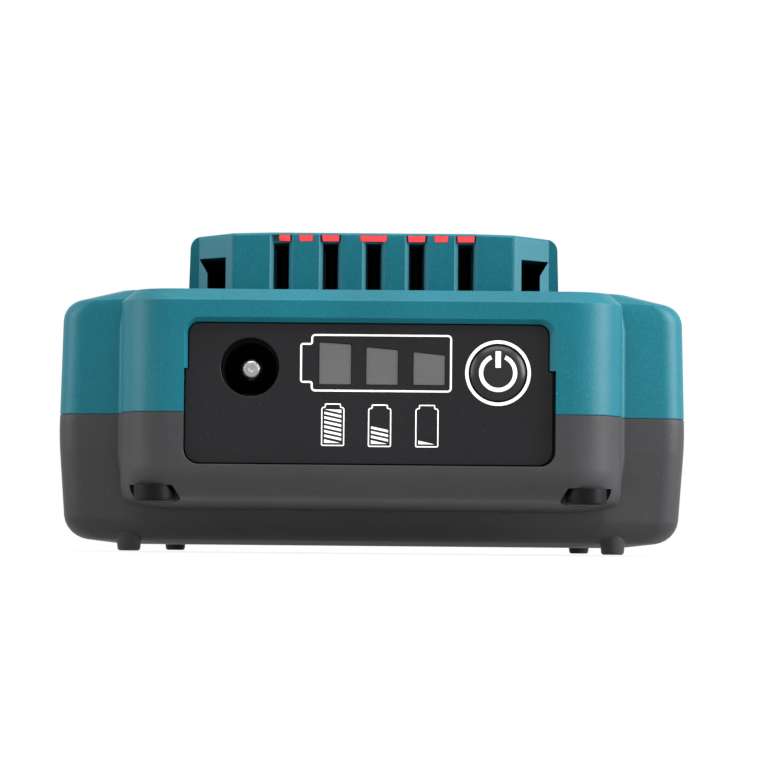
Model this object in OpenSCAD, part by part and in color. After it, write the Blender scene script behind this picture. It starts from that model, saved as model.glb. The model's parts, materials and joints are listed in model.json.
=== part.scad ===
// Slim slide-on battery pack: one row of cells across the body, a nose with the
// charge panel at the front (-Y), a slide block on the deck and a latch at the rear (+Y).
// Origin on the floor, under the middle of the pack. Millimetres.

/* [Cells] */
// Diameter of one cell
cell_d = 18.3; // [18:0.1:21]
// Length of one cell
cell_len = 65; // [60:0.5:70]
// Gap between neighbouring cells
cell_gap = 0.5; // [0.4:0.1:2]
// Radial clearance of a cell in its holder
cell_fit = 0.1; // [0.05:0.01:0.3]
// Width of each cell holder, measured along the cells
holder_w = 12; // [9:0.5:16]
// Thickness of the holder above and below a cell
holder_web = 0.8; // [0.6:0.1:1.6]
// Thickness of the holder's end lip
holder_lip = 1; // [0.6:0.1:1.4]
// Thickness of the series strips
strip_t = 0.3; // [0.2:0.05:0.5]
// Width of the series strips
strip_w = 8; // [5:0.5:10]

/* [Housing] */
// Wall thickness of both housings
wall = 2.2; // [1.8:0.1:2.6]
// Height of the joint line between the housings
split_z = 16.2; // [15:0.1:17.5]
// Room between a cell's end and the inside of the housing
end_room = 2.8; // [2.4:0.1:4]
// Depth from the nose's face to the first cell
front_bay = 13.8; // [13.4:0.1:18]
// Depth from the last cell to the rear face
rear_bay = 10.7; // [10.4:0.1:15]
// Room between the main board and the deck's underside
top_room = 3.2; // [2.8:0.1:5]
// Height of the moulded feet
foot_h = 0.8; // [0.4:0.1:2]
// Radius of a foot
foot_r = 1.5; // [1:0.1:2.5]
// Distance of the feet from the middle plane
foot_x = 28.9; // [24:0.1:29.5]
// Height of the lip that locates the housings
lip_h = 1.2; // [0.8:0.1:2]
// Thickness of the locating lip
lip_t = 0.9; // [0.7:0.05:1.1]
// Clearance between fixed pieces that fit together
fit = 0.15; // [0.05:0.01:0.25]
// Clearance between pieces that slide past each other
run = 0.3; // [0.2:0.05:0.4]

/* [Nose and panel] */
// Width of the nose
nose_w = 60; // [58:0.5:64]
// Depth of the nose in front of the wings
nose_depth = 9; // [7:0.5:10]
// Height where the chin starts to slope back
chin_z = 6.6; // [5:0.1:7]
// Lean of the chin from the vertical, in degrees
chin_lean = 80; // [60:1:82]
// Width of the panel opening
panel_w = 43; // [42.4:0.1:43.6]
// Height of the panel opening
panel_h = 16.8; // [16.2:0.1:17]
// Height of the panel's middle
panel_z = 18.9; // [18.7:0.1:19.1]
// How far the panel's face lies behind the nose's face
panel_sink = 0.8; // [0.4:0.1:1.2]
// Thickness of the bezel's flange behind the wall
flange_t = 1.2; // [0.8:0.1:1.6]
// Distance of the button from the middle plane
button_x = 14.9; // [14.6:0.1:15.4]
// Height of the button's and the socket's axes
control_z = 21.3; // [21:0.1:21.6]
// Radius of the button's cap
button_r = 3.25; // [2.8:0.05:3.4]
// Travel of the power button
button_travel = 0.5; // [0.3:0.05:0.6]
// Distance of the charging socket from the middle plane
jack_x = 14.1; // [13.6:0.1:14.4]
// Radius of the socket's hole in the bezel
jack_hole_r = 3.4; // [3.3:0.05:3.6]
// Radius of the socket's own cavity
jack_cavity_r = 3.1; // [2.9:0.05:3.3]
// Radius of the socket's centre pin
jack_pin_r = 1.25; // [0.8:0.05:1.3]

/* [Slide block] */
// Height of the block above the deck
block_h = 7.6; // [7:0.1:9]
// Width of the block over its rails
block_w = 44.6; // [43:0.1:47]
// Width of the block's front face
block_face_w = 34; // [33:0.1:34.6]
// Length of the block
block_len = 84; // [70:1:86]
// Distance of the block behind the nose's face
block_back = 16; // [15.5:0.5:18]
// Width of a terminal slot's mouth
slot_w = 2.05; // [1.6:0.05:2.4]
// Width of the cavity behind a mouth
cavity_w = 3.5; // [3.2:0.1:3.8]
// Distance of the inner slots from the middle one
slot_x1 = 5.2; // [5:0.05:5.4]
// Distance of the outer slots from the middle one
slot_x2 = 11.15; // [10.8:0.05:11.4]
// Thickness of the block's roof
roof_t = 1.1; // [0.8:0.1:1.6]
// Height of the guide tunnels above the deck
tunnel_h = 4.6; // [3.6:0.1:5]
// Length of the guide tunnels
tunnel_len = 62; // [40:1:66]

/* [Latch] */
// Width of the latch body
latch_w = 25.4; // [22:0.2:28]
// Travel of the latch
latch_travel = 4; // [2:0.1:4.5]
// Height of the hook above the deck
hook_h = 4.6; // [3:0.1:6]
// Width of the hook
hook_w = 18; // [12:0.5:20]
// Mean radius of a latch spring
spring_r = 2.4; // [2:0.1:2.6]
// Wire diameter of a latch spring
spring_wire = 0.6; // [0.4:0.05:0.7]
// Number of curls in a latch spring
spring_curls = 6; // [4:1:7]

/* [Boards and screws] */
// Thickness of the main board
board_t = 1.6; // [1:0.1:2]
// Half width of the main board
board_half = 27.5; // [27:0.1:29]
// Thickness of the indicator board
panel_board_t = 1.2; // [0.8:0.1:1.6]
// Shank radius of the housing screws
screw_r = 1.25; // [1:0.05:1.3]
// Head radius of the housing screws
screw_head_r = 2.4; // [2:0.05:2.5]
// Head height of the housing screws
screw_head_h = 2; // [1.4:0.1:2.4]
// Length of the housing screws under the head
screw_len = 14; // [12:0.5:18]
// Radius of the screw pockets in the lower housing
pocket_r = 3; // [2.8:0.05:3.2]
// Height of the pockets' roof
pocket_z = 7.7; // [7:0.1:7.8]

/* [Hidden] */
$fn = 48;
eps = 0.01;
big = 400;
cell_count = 5;

// Rim of the bezel behind the wall and the room above it
flange_edge = 1;
panel_head = 0.5;

// Heights, from the floor up
floor_z = foot_h + wall;
holder_foot = 0.6;
holder_z = floor_z + holder_foot;
bore_r = cell_d / 2 + cell_fit;
cell_z = holder_z + holder_web + bore_r;
holder_top = cell_z + bore_r + holder_web;
board_z = holder_top + strip_t;
board_top = board_z + board_t;
panel_need = panel_z + panel_h / 2 + flange_edge + panel_head;
deck_under = max(board_top + top_room, panel_need);
deck_z = deck_under + wall;
block_top = deck_z + block_h;
slot_top = block_top - roof_t;

// Lengths, from the nose to the rear
cells_span = cell_count * cell_d + (cell_count - 1) * cell_gap;
body_len = front_bay + cells_span + rear_bay;
y_front = -body_len / 2;
y_rear = body_len / 2;
y_wing = y_front + nose_depth;
y_wall = y_front + wall;
y_face = y_front + panel_sink;
y_flange = y_wall + flange_t;
function cell_y(i) = y_front + front_bay + cell_d / 2 + i * (cell_d + cell_gap);
holder_y0 = cell_y(0) - bore_r - holder_web;
holder_y1 = cell_y(cell_count - 1) + bore_r + holder_web;

// Widths
cell_end = cell_len / 2;
lip_x = cell_end + holder_lip;
half_w = cell_end + end_room + wall;
nose_half = nose_w / 2;

// Outline helpers: inset moves every edge of a loop inwards, rounded turns its corners to arcs
function unit(v) = v / norm(v);
function left_of(u) = [-u.y, u.x];
function turn_of(u, v) = atan2(u.x * v.y - u.y * v.x, u * v);
function spun(v, a) = [v.x * cos(a) - v.y * sin(a), v.x * sin(a) + v.y * cos(a)];
function before(p, i) = p[(i + len(p) - 1) % len(p)];
function after(p, i) = p[(i + 1) % len(p)];
function inset(p, e) = [
    for (i = [0:len(p) - 1])
        let (n1 = left_of(unit(p[i] - before(p, i))), n2 = left_of(unit(after(p, i) - p[i])))
        p[i] + e * (n1 + n2) / (1 + n1 * n2)
];
function corner(a, b, c, r) =
    let (u = unit(b - a), v = unit(c - b), turn = turn_of(u, v), side = sign(turn))
    let (start = b - u * r * tan(abs(turn) / 2), middle = start + left_of(u) * r * side)
    let (steps = max(1, ceil(abs(turn) / 15)))
    [for (s = [0:steps]) middle + spun(start - middle, turn * s / steps)];
function rounded(p, r) = [
    for (i = [0:len(p) - 1]) each corner(before(p, i), p[i], after(p, i), r[i])
];
function eased(r, e) = [for (x = r) max(x - e, 0.3)];
function mirrored(p) = [for (i = [len(p) - 1:-1:0]) [-p[i].x, p[i].y]];
function box_loop(x0, y0, x1, y1) = [[x0, y0], [x1, y0], [x1, y1], [x0, y1]];

// Body section across X and Z, plan across X and Y, side across Y and Z
half_section = [
    [half_w - 7.5, foot_h], [half_w - 0.8, foot_h + 0.8], [half_w, cell_z],
    [half_w - 0.4, deck_z - 1.7], [half_w - 8.2, deck_z]
];
half_section_r = [8, 3, 40, 3, 5];
body_section = concat(half_section, mirrored(half_section));
body_section_r = concat(half_section_r, [for (i = [4:-1:0]) half_section_r[i]]);
body_plan = box_loop(-half_w, y_wing, half_w, y_rear);
body_plan_r = [6, 6, 8, 8];
body_side = box_loop(y_wing, foot_h, y_rear, deck_z);
body_side_r = [6, 6, 3, 2.5];

// Nose section, plan and side
nose_root = 6;
chin_run = (chin_z - foot_h) * tan(chin_lean);
nose_end = y_front + chin_run + nose_root;
nose_section = box_loop(-nose_half, foot_h, nose_half, deck_z);
nose_section_r = [7, 7, 2, 2];
nose_plan = box_loop(-nose_half, y_front, nose_half, nose_end);
nose_plan_r = [4.5, 4.5, 1, 1];
nose_side = [
    [y_front + chin_run, foot_h], [nose_end, foot_h], [nose_end, deck_z],
    [y_front, deck_z], [y_front, chin_z]
];
nose_side_r = [4, 1, 1, 1.8, 4];

module along_y(p, y0, y1) {
    translate([0, y1, 0]) rotate([90, 0, 0]) linear_extrude(y1 - y0) polygon(p);
}

module along_x(p, x0, x1) {
    translate([x0, 0, 0]) rotate([90, 0, 90]) linear_extrude(x1 - x0) polygon(p);
}

module box(low, high) {
    translate(low) cube(high - low);
}

module post_z(x, y, r, z0, z1) {
    translate([x, y, z0]) cylinder(h = z1 - z0, r = r);
}

module rod_y(x, z, r, y0, y1) {
    translate([x, y1, z]) rotate([90, 0, 0]) cylinder(h = y1 - y0, r = r);
}

module both_sides() {
    children();
    mirror([1, 0, 0]) children();
}

// A solid rounded in three views, with every wall moved in by e
module three_view(section, section_r, plan, plan_r, side, side_r, e) {
    intersection() {
        along_y(rounded(inset(section, e), eased(section_r, e)), -big / 2, big / 2);
        translate([0, 0, -big / 2]) linear_extrude(big) polygon(rounded(inset(plan, e), eased(plan_r, e)));
        along_x(rounded(inset(side, e), eased(side_r, e)), -big / 2, big / 2);
    }
}

// Whole outer form of the pack, moved in by e
module pack_form(e) {
    three_view(body_section, body_section_r, body_plan, body_plan_r, body_side, body_side_r, e);
    three_view(nose_section, nose_section_r, nose_plan, nose_plan_r, nose_side, nose_side_r, e);
}

module slab(z0, z1) {
    box([-big / 2, -big / 2, z0], [big / 2, big / 2, z1]);
}

// Part of the hollow shell between two heights
module shell(z0, z1) {
    intersection() {
        difference() {
            pack_form(0);
            pack_form(wall);
        }
        slab(z0, z1);
    }
}

// Housing screws: two at the nose corners, two at the rear corners
boss_r = screw_r + 1.15;
pilot_r = screw_r + 0.05;
pocket_wall = 1.2;
pocket_cap = 1.4;
screw_x_front = panel_w / 2 + flange_edge + boss_r + 0.3;
screw_y_front = y_front + 2.8;
screw_x_rear = half_w - 7.5;
screw_y_rear = holder_y1 + pocket_r + pocket_wall + 0.1;
screw_spots = [
    [-screw_x_front, screw_y_front], [screw_x_front, screw_y_front],
    [-screw_x_rear, screw_y_rear], [screw_x_rear, screw_y_rear]
];
foot_ys = [y_wing + 4, y_rear - 21];
foot_taper = 0.2;
foot_root = 0.4;

// Panel opening, its bezel and the pieces behind it
panel_r = 1.8;
panel_y = y_flange;
rib_w = 2;
rib_x = panel_w / 2 - 3.5;
rib_bite = 1.1;
stem_len = 0.65;
button_flange_t = 0.7;
button_flange_r = button_r + 0.85;
button_gap = 0.05;
y_stem = panel_y + button_gap + button_flange_t;
y_plunger = y_stem + stem_len;
switch_gap = 0.6;
switch_h = 1.6;
y_switch = y_plunger + switch_gap;
y_panel_board = y_switch + switch_h;
y_panel_back = y_panel_board + panel_board_t;
plunger_r = 1.2;
panel_post_x = [-6.5, 18.5];
panel_post_z = control_z - 6.1;
panel_post_r = 1.5;
panel_screw_r = 0.6;

// Charge windows: left edge, width, top left, top right; all share one foot line
window_x = [-6.1, -0.6, 4.9];
window_w = 3.8;
window_foot = control_z - 1.8;
window_tops = [[24.5, 24.25], [24, 23.65], [23.45, 23.05]];
window_lift = control_z - 21.3;
guide_fit = 0.08;
guide_plate_t = 0.9;
guide_edge = 0.8;
guide_top = window_tops[0][0] + window_lift;
led_h = 0.9;

// Charging socket
jack_neck_r = 4;
jack_neck_len = 1;
jack_half_w = 4.6;
jack_half_h = 4.9;
jack_depth = 10;
jack_bottom_t = 1.6;
y_jack_back = panel_y + jack_depth;
y_jack_floor = y_jack_back - jack_bottom_t;
jack_tail_r = 0.8;
jack_tail_len = 0.8;
pin_recess = 1;

// Slide block
y_block = y_front + block_back;
y_block_end = y_block + block_len;
face_half = block_face_w / 2;
block_half = block_w / 2;
sweep = block_half - face_half;
rail_gap = 0.9;
rail_t = 0.9;
rail_foot_t = 2.2;
tunnel_flare = 1.4;
slot_xs = [-slot_x2, -slot_x1, 0, slot_x1, slot_x2];
mouth_len = 2.4;
cavity_len = 18;
comb_len = 20;
comb_bar = 3;
comb_w = 2.2;
comb_mid_w = 3.4;
comb_key_w = 1.8;
comb_key_x = (slot_x1 + slot_x2) / 2;
comb_gap = 0.1;
hollow_y0 = y_block + cavity_len + 4;
hollow_wall = 1.8;

// Contacts on the main board
contact_y = y_block + 5.6;
contact_len = 12;
contact_top_gap = 0.7;

// Latch at the rear
latch_half = latch_w / 2;
y_latch1 = y_rear - wall - run;
y_latch0 = y_latch1 - 5.7;
latch_z0 = split_z - 2.2;
latch_ear = 1.9;
latch_ear_h = 2;
ear_gap = 0.2;
latch_drop = 0.3;
cheek_t = 2;
pad_out = 2.2;
spring_x = 7.5;
spring_y = (y_latch0 + y_latch1) / 2;
spring_pocket = 4;
spring_seat_z = floor_z + 4;
spring_top = latch_z0 + spring_pocket;
spring_post_r = spring_r - spring_wire / 2 - 0.4;

// Main board
board_y0 = cell_y(0) - 5;
board_y1 = cell_y(cell_count - 1) + 4;
board_screw_x = cell_end - holder_w + 3;
board_screw_ys = [(cell_y(0) + cell_y(1)) / 2, (cell_y(3) + cell_y(4)) / 2];
board_screw_r = 0.9;
board_pad_r = 2.2;
board_screw_depth = 5;
strip_reach = board_half - 1.3;
socket_x0 = 14;
socket_x1 = 20;

// Positions of all board screws
function board_spots() = [for (x = [-board_screw_x, board_screw_x], y = board_screw_ys) [x, y]];

module panel_outline(grow, r) {
    w = panel_w / 2 + grow;
    h = panel_h / 2 + grow;
    loop = box_loop(-w, panel_z - h, w, panel_z + h);
    polygon(rounded(loop, [r, r, r, r]));
}

module panel_prism(grow, r, y0, y1) {
    translate([0, y1, 0]) rotate([90, 0, 0]) linear_extrude(y1 - y0) panel_outline(grow, r);
}

// Upper housing
module block_body() {
    section = [
        [block_half, deck_z - wall / 2], [block_half - 0.2, block_top - 0.25], [face_half, block_top - 0.12],
        [slot_x2 + 1, block_top]
    ];
    section_r = [0.1, 1.8, 0.5, 0.5];
    loop = concat(section, mirrored(section));
    loop_r = concat(section_r, [0.5, 0.5, 1.8, 0.1]);
    half_plan = [
        [face_half, y_block], [block_half, y_block + sweep], [block_half, y_block_end]
    ];
    intersection() {
        along_y(rounded(loop, loop_r), y_block - 1, y_block_end + 1);
        linear_extrude(block_top + 1) polygon(concat(half_plan, mirrored(half_plan)));
    }
}

// Guide tunnels under the rails, terminal slots, comb seat and hollow of the block
module block_cuts() {
    rail_in = face_half + rail_gap;
    tunnel = [
        [rail_in, deck_z], [block_half - rail_foot_t, deck_z],
        [block_half - rail_foot_t, deck_z + tunnel_h - tunnel_flare],
        [block_half - 0.1 - rail_t, deck_z + tunnel_h], [rail_in, deck_z + tunnel_h]
    ];
    both_sides() along_y(tunnel, y_block - 1, y_block + tunnel_len);
    for (x = slot_xs) {
        box([x - slot_w / 2, y_block - 1, deck_z], [x + slot_w / 2, y_block + mouth_len + eps, slot_top]);
        box([x - cavity_w / 2, y_block + mouth_len, deck_under - 1],
            [x + cavity_w / 2, y_block + cavity_len, slot_top]);
    }
    comb_form(0, 1);
    box([-face_half + hollow_wall, hollow_y0, deck_under - 1],
        [face_half - hollow_wall, y_block_end - hollow_wall, block_top - hollow_wall]);
}

// Comb let into the roof: a finger over every slot, two key fingers and a cross bar
module comb_form(gap, above) {
    fingers = [
        for (x = slot_xs) [x, x == 0 ? comb_mid_w : comb_w],
        for (x = [-comb_key_x, comb_key_x]) [x, comb_key_w]
    ];
    y0 = y_block + comb_len - comb_bar;
    half = slot_x2 + comb_w / 2;
    front = above > 0 ? y_block - 1 : y_block + gap;
    for (f = fingers)
        box([f[0] - f[1] / 2 + gap, front, slot_top],
            [f[0] + f[1] / 2 - gap, y0 + gap + eps, block_top + above]);
    box([-half + gap, y0 + gap, slot_top], [half - gap, y_block + comb_len - gap, block_top + above]);
}

module upper_solid() {
    shell(split_z, big / 2);
    block_body();
    intersection() {
        union() {
            for (s = screw_spots) post_z(s[0], s[1], boss_r, split_z, deck_under + wall / 2);
            both_sides() {
                box([rib_x - rib_w / 2, y_flange, panel_z + panel_h / 2 + flange_edge - rib_bite],
                    [rib_x + rib_w / 2, y_flange + rib_w, deck_under + wall / 2]);
                box([latch_half + run, y_latch0 - run, latch_z0 + latch_ear_h + ear_gap],
                    [latch_half + run + cheek_t, y_rear - wall / 2, deck_under + wall / 2]);
            }
            box([-jack_x - rib_w, y_flange + 2, control_z + jack_half_h],
                [-jack_x + rib_w, y_jack_back - 2, deck_under + wall / 2]);
        }
        pack_form(wall / 2);
    }
}

module upper_housing() {
    color("teal") difference() {
        upper_solid();
        intersection() {
            pack_form(wall - lip_t - fit);
            slab(split_z - 1, split_z + lip_h + fit);
        }
        block_cuts();
        panel_prism(0, panel_r, y_front - 1, y_wall + eps);
        for (s = screw_spots) post_z(s[0], s[1], pilot_r, split_z - 1, pocket_z + screw_len + 1);
        box([-latch_half - run, y_latch0 - run, split_z - 1], [latch_half + run, y_rear + 1, deck_z + 1]);
    }
}

// Lower housing
module lower_solid() {
    shell(-1, split_z);
    intersection() {
        difference() {
            pack_form(wall - lip_t);
            pack_form(wall);
        }
        slab(split_z - 1, split_z + lip_h);
    }
    intersection() {
        union() {
            for (s = screw_spots) {
                post_z(s[0], s[1], boss_r, 0, split_z);
                post_z(s[0], s[1], pocket_r + pocket_wall, 0, pocket_z + pocket_cap);
            }
            both_sides() {
                box([rib_x - rib_w / 2, y_flange, foot_h],
                    [rib_x + rib_w / 2, y_flange + rib_w, panel_z - panel_h / 2 - flange_edge + rib_bite]);
                post_z(spring_x, spring_y, spring_r + 1, foot_h, spring_seat_z);
                post_z(spring_x, spring_y, spring_post_r, foot_h, spring_seat_z + 3);
            }
        }
        pack_form(wall / 2);
    }
    for (y = foot_ys)
        both_sides() translate([foot_x, y, 0])
            cylinder(h = floor_z - foot_root, r1 = foot_r - foot_taper, r2 = foot_r + foot_taper);
}

module lower_housing() {
    color([0.26, 0.26, 0.27]) difference() {
        lower_solid();
        panel_prism(0, panel_r, y_front - 1, y_wall + eps);
        box([-latch_half - run, y_latch0 - run, split_z], [latch_half + run, y_rear + 1, deck_z]);
        for (s = screw_spots) {
            post_z(s[0], s[1], pilot_r, -1, split_z + lip_h + 1);
            post_z(s[0], s[1], boss_r + fit, split_z, split_z + lip_h + 1);
            post_z(s[0], s[1], pocket_r, -1, pocket_z);
        }
    }
}

// Panel
module window_prism(i, gap, y0, y1) {
    x0 = window_x[i] + gap;
    x1 = window_x[i] + window_w - gap;
    tops = window_tops[i];
    lift = window_lift - gap;
    z0 = window_foot + gap;
    along_y([[x0, z0], [x1, z0], [x1, tops[1] + lift], [x0, tops[0] + lift]], y0, y1);
}

module front_bezel() {
    color([0.16, 0.16, 0.17]) difference() {
        union() {
            panel_prism(-fit, panel_r - fit, y_face, y_wall);
            panel_prism(flange_edge, panel_r, y_wall, y_flange);
            for (x = panel_post_x) rod_y(x, panel_post_z, panel_post_r, y_flange - eps, y_panel_board);
        }
        for (i = [0:2]) window_prism(i, 0, y_face - 1, y_flange + 1);
        rod_y(button_x, control_z, button_r + 0.2, y_face - 1, y_flange + 1);
        rod_y(-jack_x, control_z, jack_hole_r, y_face - 1, y_flange + 1);
        rod_y(-jack_x, control_z, jack_neck_r + 0.1, y_flange - jack_neck_len, y_flange + 1);
        for (x = panel_post_x)
            rod_y(x, panel_post_z, panel_screw_r + 0.05, y_flange, y_panel_board + 1);
    }
}

module light_guide() {
    color([0.5, 0.5, 0.5]) {
        for (i = [0:2]) window_prism(i, guide_fit, y_face + 0.05, y_flange + eps);
        box([window_x[0] - guide_edge, y_flange, window_foot - guide_edge],
            [window_x[2] + window_w + guide_edge, y_flange + guide_plate_t, guide_top + guide_edge]);
    }
}

module power_button() {
    dish_r = 9;
    dish_deep = 0.35;
    color([0.2, 0.2, 0.21]) difference() {
        union() {
            rod_y(button_x, control_z, button_r, y_face - 0.1, panel_y + button_gap);
            rod_y(button_x, control_z, button_flange_r, panel_y + button_gap, y_stem);
            rod_y(button_x, control_z, plunger_r + 0.3, y_stem, y_plunger);
        }
        translate([button_x, y_face - 0.1 - dish_r + dish_deep, control_z]) sphere(r = dish_r);
    }
}

module switch_plunger() {
    color([0.85, 0.8, 0.3]) rod_y(button_x, control_z, plunger_r, y_plunger, y_switch + 0.4);
}

module tact_switch() {
    half = 2.6;
    color([0.3, 0.3, 0.3]) difference() {
        box([button_x - half, y_switch, control_z - half],
            [button_x + half, y_panel_board, control_z + half]);
        rod_y(button_x, control_z, plunger_r + 0.15, y_switch - 1, y_switch + 0.4 + button_travel + 0.2);
    }
}

module indicator_leds() {
    color([0.9, 0.9, 0.8])
        for (x = window_x)
            box([x + window_w / 2 - 1, y_panel_board - led_h, window_foot + 1.4],
                [x + window_w / 2 + 1, y_panel_board, window_foot + 2.8]);
}

module indicator_board() {
    color("darkgreen") difference() {
        box([panel_post_x[0] - 2.5, y_panel_board, panel_post_z - 2.2],
            [panel_post_x[1] + 2, y_panel_back, control_z + 4.8]);
        for (x = panel_post_x)
            rod_y(x, panel_post_z, panel_screw_r + 0.1, y_panel_board - 1, y_panel_back + 1);
    }
}

module indicator_screws() {
    color("silver")
        for (x = panel_post_x) {
            rod_y(x, panel_post_z, panel_screw_r, y_flange + 0.2, y_panel_back);
            rod_y(x, panel_post_z, panel_screw_r + 0.6, y_panel_back, y_panel_back + 0.8);
        }
}

// Charging socket
module dc_jack_body() {
    color([0.1, 0.1, 0.1]) difference() {
        union() {
            box([-jack_x - jack_half_w, y_flange, control_z - jack_half_h],
                [-jack_x + jack_half_w, y_jack_back, control_z + jack_half_h]);
            rod_y(-jack_x, control_z, jack_neck_r, y_flange - jack_neck_len, y_flange + eps);
        }
        rod_y(-jack_x, control_z, jack_cavity_r, y_flange - 2, y_jack_floor);
        rod_y(-jack_x, control_z, jack_tail_r + 0.05, y_flange, y_jack_back + 1);
        box([-jack_x - 1 - fit, y_flange + 1 - fit, control_z - jack_half_h - 1],
            [-jack_x + 1 + fit, y_jack_floor - 1, control_z]);
    }
}

module dc_jack_pin() {
    tip = y_face + pin_recess;
    color("silver") {
        rod_y(-jack_x, control_z, jack_pin_r, tip + jack_pin_r, y_jack_floor);
        rod_y(-jack_x, control_z, jack_tail_r, y_jack_floor - eps, y_jack_back + jack_tail_len);
        intersection() {
            translate([-jack_x, tip + jack_pin_r, control_z]) sphere(r = jack_pin_r);
            box([-jack_x - 2, tip - 1, control_z - 2], [-jack_x + 2, tip + jack_pin_r, control_z + 2]);
        }
    }
}

// Leaf that presses on the plug's sleeve, in the slot under the cavity
module dc_jack_spring() {
    z0 = control_z - jack_half_h;
    y0 = y_flange + 1;
    y1 = y_jack_floor - 1 - fit;
    rise = jack_half_h - jack_cavity_r;
    leaf = [
        [y0, z0], [y1, z0], [y1, z0 + 0.4], [y0 + 3.4, z0 + 0.4], [y0 + 2.2, z0 + rise + 0.3],
        [y0 + 1.6, z0 + rise + 0.3], [y0 + 0.4, z0 + 0.4], [y0, z0 + 0.4]
    ];
    color("silver") along_x(leaf, -jack_x - 1, -jack_x + 1);
}

// Tube swept along a route, square to it at every point
function route_dir(p, i) = unit(p[min(i + 1, len(p) - 1)] - p[max(i - 1, 0)]);
function ring_at(p, i, r, n) =
    let (d = route_dir(p, i), up = abs(d.z) > 0.9 ? [0, 1, 0] : [0, 0, 1])
    let (a = unit(cross(d, up)), b = cross(a, d))
    [for (k = [0:n - 1]) p[i] + r * (a * cos(k * 360 / n) + b * sin(k * 360 / n))];
module swept_tube(p, r, n) {
    last = len(p) - 1;
    points = [for (i = [0:last]) each ring_at(p, i, r, n)];
    sides = [
        for (i = [0:last - 1], k = [0:n - 1])
            let (a = i * n + k, b = i * n + (k + 1) % n)
            each [[a, b, b + n], [a, b + n, a + n]]
    ];
    caps = [
        for (k = [1:n - 2]) each [[0, k + 1, k], [last * n, last * n + k, last * n + k + 1]]
    ];
    polyhedron(points, concat(sides, caps));
}

// Charging leads: out of the socket's back, over the board's front edge, down onto its pads
lead_r = 0.6;
lead_rise = 1.6;
module jack_lead(x, z, pad_y) {
    top = board_top + lead_rise;
    back = y_jack_back;
    edge = board_y0;
    route = [
        [x, back, z], [x, back + 0.8, z], [x, back + 1.9, z + 0.7], [x, edge - 1.2, top - 0.8],
        [x, edge, top - 0.1], [x, edge + 1, top], [x, pad_y - 1.2, top], [x, pad_y - 0.4, top - 0.3],
        [x, pad_y, top - 1], [x, pad_y, board_top]
    ];
    swept_tube(route, lead_r, 8);
}

module jack_lead_positive() {
    color("red") jack_lead(-jack_x - 3.6, control_z + 2.4, board_y0 + 5);
}

module jack_lead_negative() {
    color([0.08, 0.08, 0.08]) jack_lead(-jack_x - 1.8, control_z + 3.2, board_y0 + 7);
}

// Flat ribbon from the indicator board to its socket on the main board
ribbon_t = 0.5;
module ribbon_cable() {
    z0 = control_z + 3.2;
    z1 = board_top + 1;
    y1 = board_y0;
    route = [
        [y_panel_back, z0], [y_panel_back + 2.6, z0], [y1 - 3, z1], [y1, z1], [y1, z1 + ribbon_t],
        [y1 - 3.2, z1 + ribbon_t], [y_panel_back + 2.4, z0 + ribbon_t], [y_panel_back, z0 + ribbon_t]
    ];
    color([0.75, 0.75, 0.75]) along_x(route, socket_x0 + 0.5, socket_x1 - 0.5);
}

module ribbon_socket() {
    color([0.9, 0.88, 0.8])
        box([socket_x0, board_y0, board_top], [socket_x1, board_y0 + 3, board_top + 2.3]);
}

// Main board and what it carries
module main_board() {
    color("darkgreen") difference() {
        box([-board_half, board_y0, board_z], [board_half, board_y1, board_top]);
        for (s = board_spots()) post_z(s[0], s[1], board_screw_r + 0.2, board_z - 1, board_top + 1);
    }
}

chip_w = 10;
chip_len = 7;
chip_h = 1.6;
chip_leg = 1.2;
chip_leg_w = 0.6;
chip_y = y_block + comb_len + 8;
module control_chip() {
    pitch = chip_w / 6;
    lift = 0.2;
    color([0.1, 0.1, 0.1]) {
        translate([-chip_w / 2, chip_y, board_top + lift]) cube([chip_w, chip_len, chip_h]);
        for (i = [0:5], y = [chip_y - chip_leg, chip_y + chip_len - eps])
            translate([(i - 2.5) * pitch, y, board_top])
                box([-chip_leg_w / 2, 0, 0], [chip_leg_w / 2, chip_leg + eps, lift + 0.4]);
    }
}

transistor_w = 10;
transistor_len = 9;
transistor_h = 2.3;
transistor_y = chip_y + chip_len + 9;
module power_transistors() {
    color([0.12, 0.12, 0.12])
        both_sides() translate([2, transistor_y, board_top])
            cube([transistor_w, transistor_len, transistor_h]);
}

shunt_w = 12;
shunt_len = 4;
shunt_t = 0.8;
module shunt_resistor() {
    color([0.7, 0.55, 0.4]) translate([-shunt_w / 2, transistor_y + transistor_len + 5, board_top])
        cube([shunt_w, shunt_len, shunt_t]);
}

// Spring contact: two leaves joined at the back, pinched towards the mouth
module contact(x) {
    l = contact_len;
    half_loop = [
        [1.25, l], [1.25, l - 4], [0.65, 2.5], [1.1, 0], [0.7, 0], [0.25, 2.5], [0.85, l - 4], [0.85, l - 0.4]
    ];
    other = [for (i = [len(half_loop) - 1:-1:0]) [-half_loop[i].x, half_loop[i].y]];
    color("gold") translate([x, contact_y, board_top])
        linear_extrude(slot_top - contact_top_gap - board_top) polygon(concat(half_loop, other));
}

module terminal_positive() contact(slot_xs[0]);
module terminal_charge() contact(slot_xs[1]);
module terminal_sense() contact(slot_xs[2]);
module terminal_data() contact(slot_xs[3]);
module terminal_negative() contact(slot_xs[4]);

module terminal_guard() {
    color([0.95, 0.3, 0.32]) comb_form(comb_gap, 0);
}

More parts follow.
